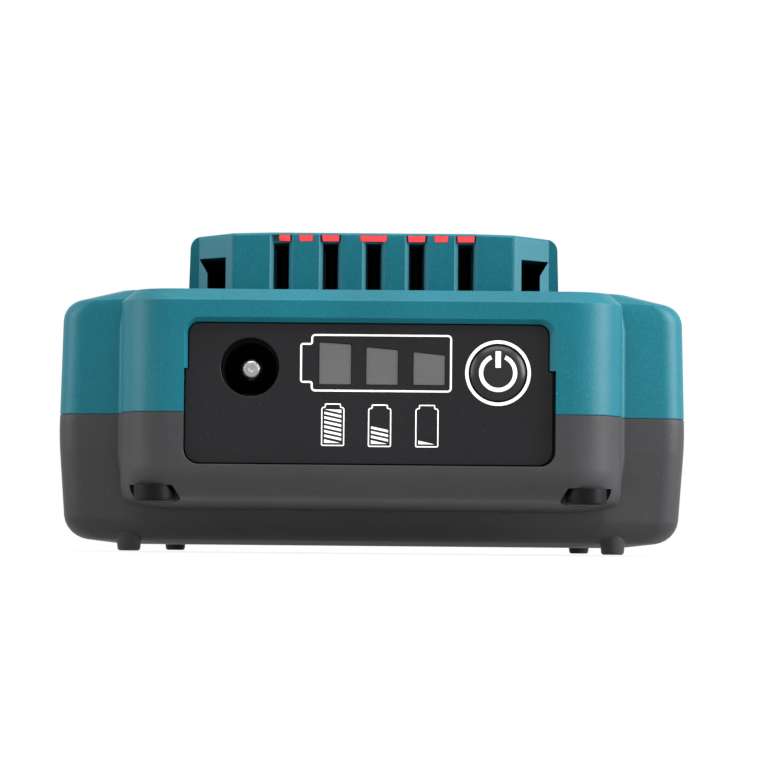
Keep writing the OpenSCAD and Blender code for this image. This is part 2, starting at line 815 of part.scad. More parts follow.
// Cells lie across the pack, every second one turned end for end
module cell(i) {
    turned = i % 2 == 0 ? 1 : -1;
    r = cell_d / 2;
    color([0.15, 0.45, 0.3]) translate([0, cell_y(i), cell_z]) rotate([0, 90 * turned, 0]) difference() {
        translate([0, 0, -cell_end]) cylinder(h = cell_len, r = r);
        translate([0, 0, cell_end - 0.4]) difference() {
            cylinder(h = 1, r = r - 1.6);
            translate([0, 0, -1]) cylinder(h = 3, r = r - 4);
        }
        translate([0, 0, cell_end - 3.2]) rotate_extrude() translate([r, 0]) circle(r = 0.4);
    }
}

module cell_1() cell(0);
module cell_2() cell(1);
module cell_3() cell(2);
module cell_4() cell(3);
module cell_5() cell(4);

// Holder at one end of the row, with a bore and an end window for every cell
module holder() {
    x0 = cell_end - holder_w;
    loop = box_loop(holder_y0, holder_z, holder_y1, holder_top);
    color([0.85, 0.85, 0.82]) difference() {
        union() {
            along_x(rounded(loop, [6, 6, 6, 6]), x0, lip_x);
            box([x0 + 1.5, cell_y(0), floor_z],
                [x0 + 7.5, cell_y(cell_count - 1), holder_z + holder_web / 2]);
            for (y = board_screw_ys) post_z(board_screw_x, y, board_pad_r, holder_top - 1, board_z);
        }
        for (i = [0:cell_count - 1]) translate([x0 - 1, cell_y(i), cell_z]) rotate([0, 90, 0]) {
            cylinder(h = holder_w + 1, r = bore_r);
            cylinder(h = holder_w + 5, r = cell_d / 2 - 2.6);
        }
        for (y = board_screw_ys)
            post_z(board_screw_x, y, board_screw_r + 0.05, board_z - board_screw_depth - 0.5, board_z + 1);
    }
}

module cell_holder_right() holder();
module cell_holder_left() mirror([1, 0, 0]) holder();

// Series strip from cell a to cell b: plate, a dished spot on each cell, a tab under the board
module strip(a, b) {
    spot_r = strip_w / 2 - 0.5;
    x0 = lip_x;
    x1 = lip_x + strip_t;
    half = strip_w / 2;
    tab = 2;
    color("silver") {
        box([x0, cell_y(a) - half, cell_z - half], [x1, cell_y(b) + half, cell_z + half]);
        for (i = [a:b])
            translate([cell_end, cell_y(i), cell_z]) rotate([0, 90, 0])
                cylinder(h = holder_lip + eps, r = spot_r);
        box([x0, cell_y(a) - tab, cell_z], [x1, cell_y(a) + tab, board_z]);
        box([strip_reach, cell_y(a) - tab, holder_top], [x1, cell_y(a) + tab, board_z]);
    }
}

module strip_1_2() strip(0, 1);
module strip_3_4() strip(2, 3);
module strip_positive() strip(4, 4);
module strip_negative() mirror([1, 0, 0]) strip(0, 0);
module strip_2_3() mirror([1, 0, 0]) strip(1, 2);
module strip_4_5() mirror([1, 0, 0]) strip(3, 4);

// Paper over the strips
paper_t = 0.3;
paper_end = 3;
paper_low = 6;
paper_high = 7;
module insulation() {
    x0 = lip_x + strip_t;
    color([0.3, 0.55, 0.75])
        box([x0, holder_y0 + paper_end, cell_z - paper_low],
            [x0 + paper_t, holder_y1 - paper_end, cell_z + paper_high]);
}

module insulation_right() insulation();
module insulation_left() mirror([1, 0, 0]) insulation();

// Bead between the middle cell and the main board
bead_len = 6;
module thermistor() {
    gap = board_z - (cell_z + cell_d / 2);
    color([0.1, 0.1, 0.1]) translate([-bead_len / 2, cell_y(2), board_z - gap / 2]) rotate([0, 90, 0])
        cylinder(h = bead_len, r = gap / 2 - 0.02);
}

foam_half = 14;
foam_end = 4;
module foam_pad() {
    gap = 0.1;
    color([0.2, 0.2, 0.2])
        box([-foam_half, cell_y(0) - foam_end, floor_z],
            [foam_half, cell_y(cell_count - 1) + foam_end, cell_z - cell_d / 2 - gap]);
}

// Screws
module screw_up(r, head_r, head_h, length) {
    drive_r = head_r * 0.45;
    difference() {
        union() {
            translate([0, 0, -head_h]) cylinder(h = head_h, r = head_r);
            cylinder(h = length, r = r);
        }
        translate([0, 0, -head_h - 1]) cylinder(h = 1 + head_h * 0.5, r = drive_r, $fn = 6);
    }
}

module housing_screws() {
    color([0.12, 0.12, 0.13])
        for (s = screw_spots)
            translate([s[0], s[1], pocket_z]) screw_up(screw_r, screw_head_r, screw_head_h, screw_len);
}

module board_screws() {
    color("silver")
        for (s = board_spots())
            translate([s[0], s[1], board_top]) rotate([180, 0, 0])
                screw_up(board_screw_r, board_screw_r + 0.9, 1.4, board_t + board_screw_depth);
}

// Release latch: hook, thumb pad, body and the ears that stop it under the cheeks
module release_latch() {
    top = deck_z - latch_drop;
    pad_top = top - 1.2;
    pad_foot = split_z + lip_h + latch_travel + 1;
    hook = [
        [y_latch0, top - eps], [y_latch0 + 3.4, top - eps], [y_latch0 + 3.4, deck_z + hook_h - 0.3],
        [y_latch0 + 2.6, deck_z + hook_h], [y_latch0, top + 0.8]
    ];
    pad_y = y_latch1 + pad_out;
    pad = [
        [y_latch1 - eps, pad_foot - 0.8], [pad_y, pad_foot + 0.6], [pad_y, pad_top - 1],
        [pad_y - 0.6, pad_top], [y_latch1 - eps, pad_top]
    ];
    pad_half = latch_half - 1;
    groove = 0.5;
    ear_half = latch_half + latch_ear;
    color([0.18, 0.18, 0.19]) difference() {
        union() {
            box([-latch_half, y_latch0, latch_z0], [latch_half, y_latch1, top]);
            box([-ear_half, y_latch0, latch_z0], [ear_half, y_latch1, latch_z0 + latch_ear_h]);
            along_x(hook, -hook_w / 2, hook_w / 2);
            along_x(pad, -pad_half, pad_half);
        }
        both_sides() post_z(spring_x, spring_y, spring_r + 0.8, latch_z0 - 1, spring_top);
        box([-spring_x + 4.6, y_latch0 + 1.5, latch_z0 - 1], [spring_x - 4.6, y_latch1 - 1.5, top - 3]);
        for (i = [0:2])
            box([-pad_half + 2, pad_y - groove, pad_foot + 1.6 + i * 1.5],
                [pad_half - 2, pad_y + 1, pad_foot + 2.3 + i * 1.5]);
    }
}

// Latch springs: one unbroken wire each, ends flat against seat and pocket
spring_z0 = spring_seat_z + spring_wire / 2 + 0.02;
spring_z1 = spring_top - spring_wire / 2 - 0.02;
spring_rings = 8 * spring_curls;
function spring_point(i) = let (a = 360 * i / 8) [
    spring_r * cos(a), spring_r * sin(a), spring_z0 + (spring_z1 - spring_z0) * i / spring_rings
];
spring_route = [for (i = [0:spring_rings]) spring_point(i)];
spring_gap = (spring_z1 - spring_z0) / spring_curls - spring_wire;
echo(spring_least_gap = spring_gap);

module latch_spring(x) {
    color("silver") translate([x, spring_y, 0]) swept_tube(spring_route, spring_wire / 2, 6);
}

module latch_spring_left() latch_spring(-spring_x);
module latch_spring_right() latch_spring(spring_x);

upper_housing();
lower_housing();
front_bezel();
light_guide();
power_button();
switch_plunger();
tact_switch();
indicator_leds();
indicator_board();
indicator_screws();
dc_jack_body();
dc_jack_pin();
dc_jack_spring();
jack_lead_positive();
jack_lead_negative();
ribbon_cable();
ribbon_socket();
main_board();
control_chip();
power_transistors();
shunt_resistor();
terminal_positive();
terminal_charge();
terminal_sense();
terminal_data();
terminal_negative();
terminal_guard();
cell_1();
cell_2();
cell_3();
cell_4();
cell_5();
cell_holder_left();
cell_holder_right();
strip_negative();
strip_1_2();
strip_2_3();
strip_3_4();
strip_4_5();
strip_positive();
insulation_left();
insulation_right();
thermistor();
foam_pad();
housing_screws();
board_screws();
release_latch();
latch_spring_left();
latch_spring_right();
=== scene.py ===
import json
import math

import bmesh
import bpy
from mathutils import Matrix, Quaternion, Vector


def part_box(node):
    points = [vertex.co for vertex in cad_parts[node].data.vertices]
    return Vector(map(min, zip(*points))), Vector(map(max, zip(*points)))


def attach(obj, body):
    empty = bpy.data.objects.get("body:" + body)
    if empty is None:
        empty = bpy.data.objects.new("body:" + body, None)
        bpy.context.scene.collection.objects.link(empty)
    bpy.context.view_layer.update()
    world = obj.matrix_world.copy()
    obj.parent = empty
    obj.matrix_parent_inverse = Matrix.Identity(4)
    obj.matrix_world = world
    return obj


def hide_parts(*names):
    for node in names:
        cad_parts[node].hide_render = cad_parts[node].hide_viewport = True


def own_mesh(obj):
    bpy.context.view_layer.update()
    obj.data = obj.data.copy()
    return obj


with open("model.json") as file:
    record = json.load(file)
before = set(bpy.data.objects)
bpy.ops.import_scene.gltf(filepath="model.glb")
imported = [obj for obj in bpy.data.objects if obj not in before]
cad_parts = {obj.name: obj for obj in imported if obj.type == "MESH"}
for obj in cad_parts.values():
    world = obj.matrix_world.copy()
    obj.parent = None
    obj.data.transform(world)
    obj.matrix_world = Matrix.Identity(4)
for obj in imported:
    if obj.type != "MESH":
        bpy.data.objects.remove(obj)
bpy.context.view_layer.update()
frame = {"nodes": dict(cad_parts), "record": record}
nodes = frame["nodes"]
mm = 0.001  # pieces are modelled in millimetres and brought to metres when they are finished
print("frame loaded,", len(nodes), "nodes")


def boxOf(node):
    low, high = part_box(node)
    return Vector(low) / mm, Vector(high) / mm


# main places, in millimetres, read from the frame
upperLow, upperHigh = boxOf("upper_housing")
bezelLow, _ = boxOf("front_bezel")
pinLow, pinHigh = boxOf("dc_jack_pin")
buttonLow, buttonHigh = boxOf("power_button")
latchLow, latchHigh = boxOf("release_latch")
frontY = upperLow.y
rearY = upperHigh.y
halfWidth = upperHigh.x
blockTop = upperHigh.z
seamZ = upperLow.z
jackX = (pinLow.x + pinHigh.x) / 2
controlZ = (pinLow.z + pinHigh.z) / 2
buttonX = (buttonLow.x + buttonHigh.x) / 2
past = 1  # how far a cutter runs on past what it cuts
onIt = 0.01  # a point this near to a face counts as on it
sharpAngle = 0.35  # radians between the faces of an edge that counts as sharp


# picking and shaping

def clearPick():
    if bpy.context.mode != "OBJECT":
        bpy.ops.object.mode_set(mode="OBJECT")
    bpy.ops.object.select_all(action="DESELECT")


def makeActive(piece):
    clearPick()
    piece.select_set(True)
    bpy.context.view_layer.objects.active = piece


def settle():
    bpy.ops.object.transform_apply(location=True, rotation=True, scale=True)


def editEdges(piece):
    makeActive(piece)
    bpy.ops.object.mode_set(mode="EDIT")
    bpy.ops.mesh.select_mode(type="EDGE")
    bpy.ops.mesh.select_all(action="DESELECT")
    return bmesh.from_edit_mesh(piece.data)


# turns all faces outwards and ends editing
def leaveEdit():
    bpy.ops.mesh.select_all(action="SELECT")
    bpy.ops.mesh.normals_make_consistent(inside=False)
    bpy.ops.object.mode_set(mode="OBJECT")


def pickEdges(piece, test):
    mesh = editEdges(piece)
    count = 0
    for edge in mesh.edges:
        if len(edge.link_faces) == 2 and edge.calc_face_angle(0) > sharpAngle and test(edge):
            edge.select_set(True)
            count += 1
    bmesh.update_edit_mesh(piece.data)
    return count


# rounds the sharp edges that pass the test, and says how many there were
def roundEdges(piece, test, width, steps=3, clamp=True):
    count = pickEdges(piece, test)
    if count:
        bpy.ops.mesh.bevel(
            offset=width, segments=steps, profile=0.5, affect="EDGES", clamp_overlap=clamp)
    bpy.ops.object.mode_set(mode="OBJECT")
    print("  rounded", count, "edges of", piece.name, "by", width)


def bothEnds(edge, test):
    return test(edge.verts[0].co) and test(edge.verts[1].co)


# test for the edges of a front face at that level
def onFrontAt(level):
    return lambda edge: bothEnds(edge, lambda spot: spot.y < level + onIt)


# the piece just added, named and with its place and scale settled
def justAdded(name):
    piece = bpy.context.active_object
    piece.name = name
    settle()
    return piece


def addBlock(name, low, high):
    clearPick()
    low, high = Vector(low), Vector(high)
    bpy.ops.mesh.primitive_cube_add(size=1, location=(low + high) / 2)
    bpy.context.active_object.scale = high - low
    return justAdded(name)


def addRod(name, middle, radius, start, end, along, sides):
    clearPick()
    turn = {"Y": (math.pi / 2, 0, 0), "Z": (0, 0, 0)}[along]
    spot = Vector(middle)
    spot["XYZ".index(along)] = (start + end) / 2
    bpy.ops.mesh.primitive_cylinder_add(
        vertices=sides, radius=radius, depth=end - start, location=spot, rotation=turn)
    return justAdded(name)


# a face with the first ring's corners, extruded from ring to ring
def loftRings(name, rings):
    clearPick()
    bpy.ops.mesh.primitive_circle_add(vertices=len(rings[0]), radius=1, fill_type="NGON")
    piece = justAdded(name)
    bpy.ops.object.mode_set(mode="EDIT")
    bpy.ops.mesh.select_mode(type="FACE")
    bpy.ops.mesh.select_all(action="SELECT")
    for step, ring in enumerate(rings):
        if step:
            bpy.ops.mesh.extrude_region_move()
        mesh = bmesh.from_edit_mesh(piece.data)
        cap = next(face for face in mesh.faces if face.select)
        for corner, place in zip(cap.verts, ring):
            corner.co = place
        bmesh.update_edit_mesh(piece.data)
    leaveEdit()
    return piece


def applyModifier(piece, kind, **settings):
    makeActive(piece)
    step = piece.modifiers.new("step", kind)
    for name, value in settings.items():
        setattr(step, name, value)
    bpy.ops.object.modifier_apply(modifier=step.name)


def combine(piece, tool, how):
    applyModifier(piece, "BOOLEAN", operation=how, solver="EXACT", object=tool)
    bpy.data.objects.remove(tool)


def addTo(piece, tool):
    combine(piece, tool, "UNION")


def cutFrom(piece, tool):
    combine(piece, tool, "DIFFERENCE")


# a point of a flat outline, put at a level along one axis
def atLevel(along, level, first, second):
    return {"X": (level, first, second), "Y": (first, level, second), "Z": (first, second, level)}[along]


def prismAlong(name, loop, start, end, along="Y"):
    return loftRings(name, [[atLevel(along, level, *point) for point in loop] for level in (start, end)])


def circle(middle, radius, angles):
    return [(middle[0] + radius * math.cos(angle), middle[1] + radius * math.sin(angle)) for angle in angles]


# a turned piece: circles round one axis, each with its radius and level
def turned(name, middle, steps, along, sides):
    angles = [2 * math.pi * step / sides for step in range(sides)]
    rings = []
    for radius, level in steps:
        rings.append([atLevel(along, level, *spot) for spot in circle(middle, radius, angles)])
    return loftRings(name, rings)


def joinPieces(name, pieces):
    clearPick()
    for piece in pieces:
        piece.select_set(True)
    bpy.context.view_layer.objects.active = pieces[0]
    bpy.ops.object.join()
    pieces[0].name = name
    return pieces[0]


def copyOf(piece, name):
    makeActive(piece)
    bpy.ops.object.duplicate()
    return justAdded(name)


# to metres, smooth shading, finish and body
def finishPiece(piece, body, slot, replaced=(), smoothAngle=32, weight=60, finish=""):
    makeActive(piece)
    piece.scale = (mm, mm, mm)
    settle()
    bpy.ops.object.shade_smooth_by_angle(angle=math.radians(smoothAngle))
    applyModifier(piece, "WEIGHTED_NORMAL", keep_sharp=True, weight=weight)
    piece.data.materials.clear()
    piece.data.materials.append(finishes[finish or slot])
    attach(piece, body)
    if replaced:
        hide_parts(*replaced)
    print("piece", piece.name, len(piece.data.polygons), "faces")
    return piece


# finishes

def newFinish(name):
    finish = bpy.data.materials.new(name)
    finish.use_nodes = True
    return finish, finish.node_tree, finish.node_tree.nodes["Principled BSDF"]


# gives a shader node its inputs: sockets are linked, other values set
def feed(tree, shader, inputs):
    for name, value in inputs.items():
        if isinstance(value, bpy.types.NodeSocket):
            tree.links.new(value, shader.inputs[name])
        else:
            shader.inputs[name].default_value = value


# adds a shader node with its settings and inputs, and hands on one of its outputs
def addShader(tree, kind, output, inputs, **settings):
    shader = tree.nodes.new(kind)
    for name, value in settings.items():
        setattr(shader, name, value)
    feed(tree, shader, inputs)
    return shader.outputs[output]


def spotOn(tree):
    return addShader(tree, "ShaderNodeTexCoord", "Object", {})


def noiseAt(tree, spot, size, detail=2.0):
    return addShader(tree, "ShaderNodeTexNoise", "Fac", {
        "Vector": spot, "Scale": 1 / size, "Detail": detail})


# a ramp of two colours
def rampFrom(tree, source, stops):
    ramp = tree.nodes.new("ShaderNodeValToRGB")
    for element, (place, colour) in zip(ramp.color_ramp.elements, stops):
        element.position = place
        element.color = (*colour, 1)
    feed(tree, ramp, {"Fac": source})
    return ramp.outputs["Color"]


def mapTo(tree, source, low, high, begin=0.0, end=1.0):
    return addShader(tree, "ShaderNodeMapRange", "Result", {
        "Value": source, "From Min": begin, "From Max": end, "To Min": low, "To Max": high})


def shade(colour, factor):
    return tuple(min(1.0, part * factor) for part in colour)


# moulded plastic: grained skin, cloudy tone and a few pale specks
def mouldedPlastic(name, look):
    finish, tree, surface = newFinish(name)
    spot = spotOn(tree)
    cloud, grain, fleck = (
        noiseAt(tree, spot, look[size] * mm, detail)
        for size, detail in zip(("cloud", "grain", "fleckSize"), look["details"]))
    base, spread, (dark, pale) = look["colour"], look["spread"], look["toneStops"]
    clouds = rampFrom(tree, cloud, [(dark, shade(base, 1 - spread)), (pale, shade(base, 1 + spread))])
    flecks = rampFrom(tree, fleck, [
        (look["fleckFrom"], (0, 0, 0)), (look["fleckFrom"] + look["fleckEdge"], (1, 1, 1))])
    blend = addShader(tree, "ShaderNodeMix", "Result", {
        "Factor": flecks, "A": clouds, "B": (*look["fleckColour"], 1)}, data_type="RGBA")
    tooth = mapTo(tree, grain, 1 - look["tooth"], 1 + look["tooth"])
    toned = addShader(tree, "ShaderNodeVectorMath", "Vector", {0: blend, "Scale": tooth}, operation="SCALE")
    bump = addShader(tree, "ShaderNodeBump", "Normal", {
        "Strength": look["bump"], "Distance": look["grain"] * mm * look["bumpDepth"], "Height": grain})
    rough = mapTo(tree, grain, look["rough"] - look["roughSpread"], look["rough"] + look["roughSpread"])
    feed(tree, surface, {
        "Base Color": toned, "Roughness": rough, "Specular IOR Level": look["gloss"], "Normal": bump})
    return finish


# metal: fine streaks along one axis in colour and roughness
def drawnMetal(name, look):
    finish, tree, surface = newFinish(name)
    spot = addShader(tree, "ShaderNodeMapping", "Vector", {"Vector": spotOn(tree), "Scale": look["streak"]})
    streaks = noiseAt(tree, spot, look["grain"] * mm, look["detail"])
    tones = rampFrom(tree, streaks, [
        (place, shade(look["colour"], factor)) for place, factor in look["tones"]])
    smoother, rougher = look["roughSpread"]
    rough = mapTo(tree, streaks, look["rough"] - smoother, look["rough"] + rougher)
    feed(tree, surface, {"Base Color": tones, "Roughness": rough, "Metallic": 1.0})
    return finish


# sizes of clouds, grain and flecks are in millimetres
def plasticLook(colour, **other):
    look = {
        "colour": colour, "spread": 0.06, "cloud": 9, "toneStops": (0.3, 0.7), "details": (3, 4, 0),
        "grain": 0.22, "tooth": 0.12, "bump": 0.22, "bumpDepth": 0.3, "rough": 0.46, "roughSpread": 0.06,
        "gloss": 0.18, "fleckSize": 0.22, "fleckFrom": 0.83, "fleckEdge": 0.03,
        "fleckColour": shade(colour, 1.6),
    }
    look.update(other)
    return look


def metalLook(colour, **other):
    look = {
        "colour": colour, "tones": ((0.3, 0.88), (0.7, 1.08)), "grain": 0.5, "detail": 3,
        "streak": (1, 0.08, 1), "rough": 0.24, "roughSpread": (0.05, 0.08),
    }
    look.update(other)
    return look


plasticLooks = {
    "teal_plastic": plasticLook((0.0042, 0.1040, 0.1370), fleckColour=(0.018, 0.170, 0.212), tooth=0.32,
                                fleckSize=0.15, fleckFrom=0.78, bump=0.3, rough=0.42),
    "grey_plastic": plasticLook((0.0405, 0.0390, 0.0412), fleckColour=(0.072, 0.070, 0.073), gloss=0.1),
    "panel_plastic": plasticLook((0.0096, 0.0087, 0.0100), fleckColour=(0.040, 0.038, 0.039), tooth=0.3,
                                 gloss=0.16, fleckSize=0.2, fleckFrom=0.80, rough=0.42),
    "window_plastic": plasticLook((0.101, 0.0975, 0.0993), fleckColour=(0.27, 0.265, 0.265), spread=0.05,
                                  grain=0.35, rough=0.35, bump=0.08),
    "button_plastic": plasticLook((0.0105, 0.0098, 0.0108), rough=0.30, bump=0.08, gloss=0.28),
    "switch_plastic": plasticLook((0.05, 0.05, 0.05)),
    "led_resin": plasticLook((0.75, 0.74, 0.6), rough=0.2, bump=0.02),
    "circuit_board": plasticLook((0.01, 0.12, 0.05), cloud=2.5, spread=0.25, rough=0.35, bump=0.05),
    "jack_plastic": plasticLook((0.0040, 0.0034, 0.0035), rough=0.8, gloss=0.08),
    "lead_red": plasticLook((0.55, 0.02, 0.02), bump=0.05),
    "lead_black": plasticLook((0.01, 0.01, 0.01), bump=0.05),
    "ribbon_grey": plasticLook((0.45, 0.45, 0.46), bump=0.05),
    "chip_resin": plasticLook((0.012, 0.012, 0.012), rough=0.6),
    "red_plastic": plasticLook((0.83, 0.055, 0.063), spread=0.04, fleckColour=(0.90, 0.14, 0.15)),
    "cell_wrap": plasticLook((0.02, 0.2, 0.09), rough=0.25, bump=0.04),
    "holder_plastic": plasticLook((0.6, 0.6, 0.56)),
    "insulation_film": plasticLook((0.08, 0.25, 0.42), rough=0.6),
    "foam": plasticLook((0.03, 0.03, 0.03), grain=0.6, bump=0.6, rough=0.8),
    "latch_plastic": plasticLook((0.030, 0.030, 0.032), fleckColour=(0.10, 0.10, 0.105)),
    "print_ink": plasticLook((0.92, 0.92, 0.92), spread=0.03, rough=0.5, bump=0.06, fleckFrom=0.99),
}
metalLooks = {
    "bright_steel": metalLook((0.36, 0.36, 0.365), rough=0.32),
    # the contacts' near-black colour is painted shade, not the metal's own tone: it keeps them dark inside
    # their slots
    "contact_metal": metalLook((0.030, 0.028, 0.026), rough=0.45),
    "strip_nickel": metalLook((0.6, 0.58, 0.53), streak=(1, 1, 0.08)),
    "black_steel": metalLook((0.012, 0.012, 0.013), rough=0.5),
}
finishes = {name: mouldedPlastic(name, look) for name, look in plasticLooks.items()}
finishes.update({name: drawnMetal(name, look) for name, look in metalLooks.items()})

slotOf = {row["node"]: row["material_slot"] for row in frame["record"]["subparts"]}
for name, node in nodes.items():
    node.data.materials.clear()
    node.data.materials.append(finishes[slotOf[name]])
print("finishes ready:", len(finishes))


# floor, backdrop, light and camera

studio = {
    "worldLevel": 0.165,
    "sideBoxes": [
        {"name": "softbox_left", "at": (-0.70, -0.19, 0.14), "size": (0.40, 0.7), "power": 6.2},
        {"name": "softbox_right", "at": (0.70, -0.24, 0.18), "size": (0.40, 0.7), "power": 15.5},
        {"name": "softbox_top", "at": (0.0, -0.26, 0.80), "size": (0.9, 0.5), "power": 10.5},
    ],
    "aim": (0.0, -0.03, 0.018),
    "floorSize": 6, "floorDrop": 0.0002, "paperTones": ((0.3, 0.60), (0.7, 0.62)), "paperMottle": 0.04,
    "paperRough": 0.9, "paperGloss": 0.1, "paperGlow": 0.88, "glowFrom": 0.08, "glowFull": 0.30,
}
white = (1, 1, 1, 1)


# 1 for rays from the camera, mirrored ones and ones let through, and 0 for those that light the part
def seenRays(tree):
    ray = tree.nodes.new("ShaderNodeLightPath")
    seen = ray.outputs["Is Camera Ray"]
    for kind in ("Is Glossy Ray", "Is Transmission Ray"):
        pair = {0: seen, 1: ray.outputs[kind]}
        seen = addShader(tree, "ShaderNodeMath", "Value", pair, operation="MAXIMUM")
    return seen


# pale paper that shows the part's shadow near it and turns to the backdrop's white further out
def paleSurface(name):
    finish, tree, surface = newFinish(name)
    spot = spotOn(tree)
    tones = rampFrom(tree, noiseAt(tree, spot, studio["paperMottle"]), [
        (place, (level,) * 3) for place, level in studio["paperTones"]])
    feed(tree, surface, {
        "Base Color": tones, "Roughness": studio["paperRough"], "Specular IOR Level": studio["paperGloss"]})
    away = addShader(tree, "ShaderNodeVectorMath", "Value", {0: spot}, operation="LENGTH")
    fade = mapTo(tree, away, studio["paperGlow"], 1.0, studio["glowFrom"], studio["glowFull"])
    share = addShader(tree, "ShaderNodeMath", "Value", {0: seenRays(tree), 1: fade}, operation="MULTIPLY")
    glow = addShader(tree, "ShaderNodeEmission", "Emission", {})
    mixed = addShader(tree, "ShaderNodeMixShader", "Shader", {
        "Fac": share, 1: surface.outputs["BSDF"], 2: glow})
    feed(tree, tree.nodes["Material Output"], {"Surface": mixed})
    return finish


def hangUp(name, data, place, aim):
    holder = bpy.data.objects.new(name, data)
    bpy.context.scene.collection.objects.link(holder)
    holder.location = place
    holder.rotation_mode = "QUATERNION"
    holder.rotation_quaternion = aim.to_track_quat("-Z", "Y")
    return holder


def buildStage():
    clearPick()
    bpy.ops.mesh.primitive_plane_add(size=studio["floorSize"], location=(0, 0, -studio["floorDrop"]))
    floor = bpy.context.active_object
    floor.name = "studio_floor"
    floor.data.materials.append(paleSurface("floor_paper"))
    world = bpy.data.worlds.new("studio_world")
    world.use_nodes = True
    bpy.context.scene.world = world
    tree = world.node_tree
    room = tree.nodes["Background"]
    feed(tree, room, {"Color": white, "Strength": studio["worldLevel"]})
    backdrop = addShader(tree, "ShaderNodeBackground", "Background", {"Color": white})
    mixed = addShader(tree, "ShaderNodeMixShader", "Shader", {
        "Fac": seenRays(tree), 1: room.outputs["Background"], 2: backdrop})
    feed(tree, tree.nodes["World Output"], {"Surface": mixed})
    for box in studio["sideBoxes"]:
        lamp = bpy.data.lights.new(box["name"], "AREA")
        lamp.shape = "RECTANGLE"
        lamp.size, lamp.size_y = box["size"]
        lamp.energy = box["power"]
        hangUp(box["name"], lamp, box["at"], Vector(studio["aim"]) - Vector(box["at"]))


# viewpoint found from the feet, the seam, the socket and the sides in the photo
viewpoint = {
    "at": (0.0046, -0.4687, 0.0007), "yaw": -0.43, "pitch": 2.641, "roll": 0.52,
    "lens": 165.6, "sensor": 36, "clip": (0.01, 20),
}


def buildCamera():
    yaw, pitch, roll = (math.radians(viewpoint[part]) for part in ("yaw", "pitch", "roll"))
    ahead = Vector((math.sin(yaw) * math.cos(pitch), math.cos(yaw) * math.cos(pitch), math.sin(pitch)))
    data = bpy.data.cameras.new("photo_camera")
    data.sensor_width = viewpoint["sensor"]
    data.lens = viewpoint["lens"]
    data.clip_start, data.clip_end = viewpoint["clip"]
    camera = hangUp("photo_camera", data, viewpoint["at"], ahead)
    camera.rotation_quaternion = camera.rotation_quaternion @ Quaternion((0, 0, 1), roll)
    bpy.context.scene.camera = camera


bpy.context.scene.view_settings.view_transform = "Standard"
buildStage()
buildCamera()
print("studio ready")


# outlines: inset moves every side of a loop inwards, rounded turns its corners to arcs

leastCorner = 0.05


def cornerArc(before, here, after, radius, steps):
    inward = (here - before).normalized()
    onward = (after - here).normalized()
    turn = math.atan2(inward.x * onward.y - inward.y * onward.x, inward.dot(onward))
    reach = radius * math.tan(abs(turn) / 2)
    side = Vector((-inward.y, inward.x)) * math.copysign(radius, turn)
    start = here - inward * reach
    middle = start + side
    arm = start - middle
    points = []
    for step in range(steps + 1):
        cosine, sine = math.cos(turn * step / steps), math.sin(turn * step / steps)
        points.append(middle + Vector((arm.x * cosine - arm.y * sine, arm.x * sine + arm.y * cosine)))
    return points


# every corner of a loop, between its neighbours
def corners(loop):
    spots = [Vector(point) for point in loop]
    return zip(spots[-1:] + spots[:-1], spots, spots[1:] + spots[:1])


def rounded(loop, radii, steps=8):
    made = []
    for corner, radius in zip(corners(loop), radii):
        made += cornerArc(*corner, max(radius, leastCorner), steps)
    return made


def inset(loop, depth):
    made = []
    for before, here, after in corners(loop):
        inward, onward = (here - before).normalized(), (after - here).normalized()
        one, two = Vector((-inward.y, inward.x)), Vector((-onward.y, onward.x))
        made.append(here + (one + two) * depth / (1 + one.dot(two)))
    return made


# rounded loop moved inwards: its outer corners tighten and its inner corners widen
def insetRounded(loop, radii, depth, steps):
    eased = []
    for (before, here, after), radius in zip(corners(loop), radii):
        inward, onward = here - before, after - here
        bend = 1 if inward.x * onward.y - inward.y * onward.x > 0 else -1
        eased.append(max(radius - depth * bend, leastCorner))
    return rounded(inset(loop, depth), eased, steps)


def rectangle(x0, y0, x1, y1):
    return [(x0, y0), (x1, y0), (x1, y1), (x0, y1)]


# the loop's mirror image at the left, and the loop
def bothSides(loop):
    return [[(side * x, y) for x, y in loop] for side in (-1, 1)]


# how far an edge of that radius draws in, at a height above its foot and below its head
def drawnIn(height, foot, footRadius, head, headRadius):
    for away, radius in ((height - foot, footRadius), (head - height, headRadius)):
        if away < radius:
            return radius - math.sqrt(max(radius ** 2 - (radius - away) ** 2, 0))
    return 0.0


# housings

deckZ = blockTop - 7.45
shellShape = {
    "wall": 2.2, "footZ": 0.8, "wingDepth": 9.0, "equatorZ": 13.65,
    "wingFlat": 7.5, "wingFootIn": (0.8, 0.8), "wingHeadIn": (0.4, 1.75), "wingRadii": (8, 3, 40, 2.6, 3),
    "wingFront": 3.2, "wingSweep": 1.6, "wingRear": 8.0, "wingBend": 6, "wingInner": (2, 6),
    "wingFootFront": 6.0, "wingFootRear": 6.0, "wingHeadFront": 1.4, "wingHeadRear": 3.0,
    "noseTop": blockTop - 7.95, "noseBevel": (1.6, 1.35), "noseHalf": 29.5, "noseCorner": 6.3,
    "noseFoot": 7.0, "noseRadii": (4, 1, 1, 0.3, 0.3), "noseBack": 40.0, "noseSink": 0.02,
    "chinZ": 6.6, "chinLean": 80.0, "chinRound": 4.0, "leastEdge": 0.5, "leastRadius": 0.3,
    "seamRound": 0.22, "crease": 0.8, "creaseRoot": 0.6, "creaseTurns": 8,
    "creaseSteps": ((8.5, 0.25), (11.5, 1.0), (26.5, 1.0), (29.0, 0.25)),
}
outside = {"x": 60, "y": 80, "low": -9, "high": 60}  # clear of every side of the pack


# an edge's radius at that depth under the skin
def lessDepth(edge, depth):
    return max(shellShape[edge] - depth, shellShape["leastEdge"])


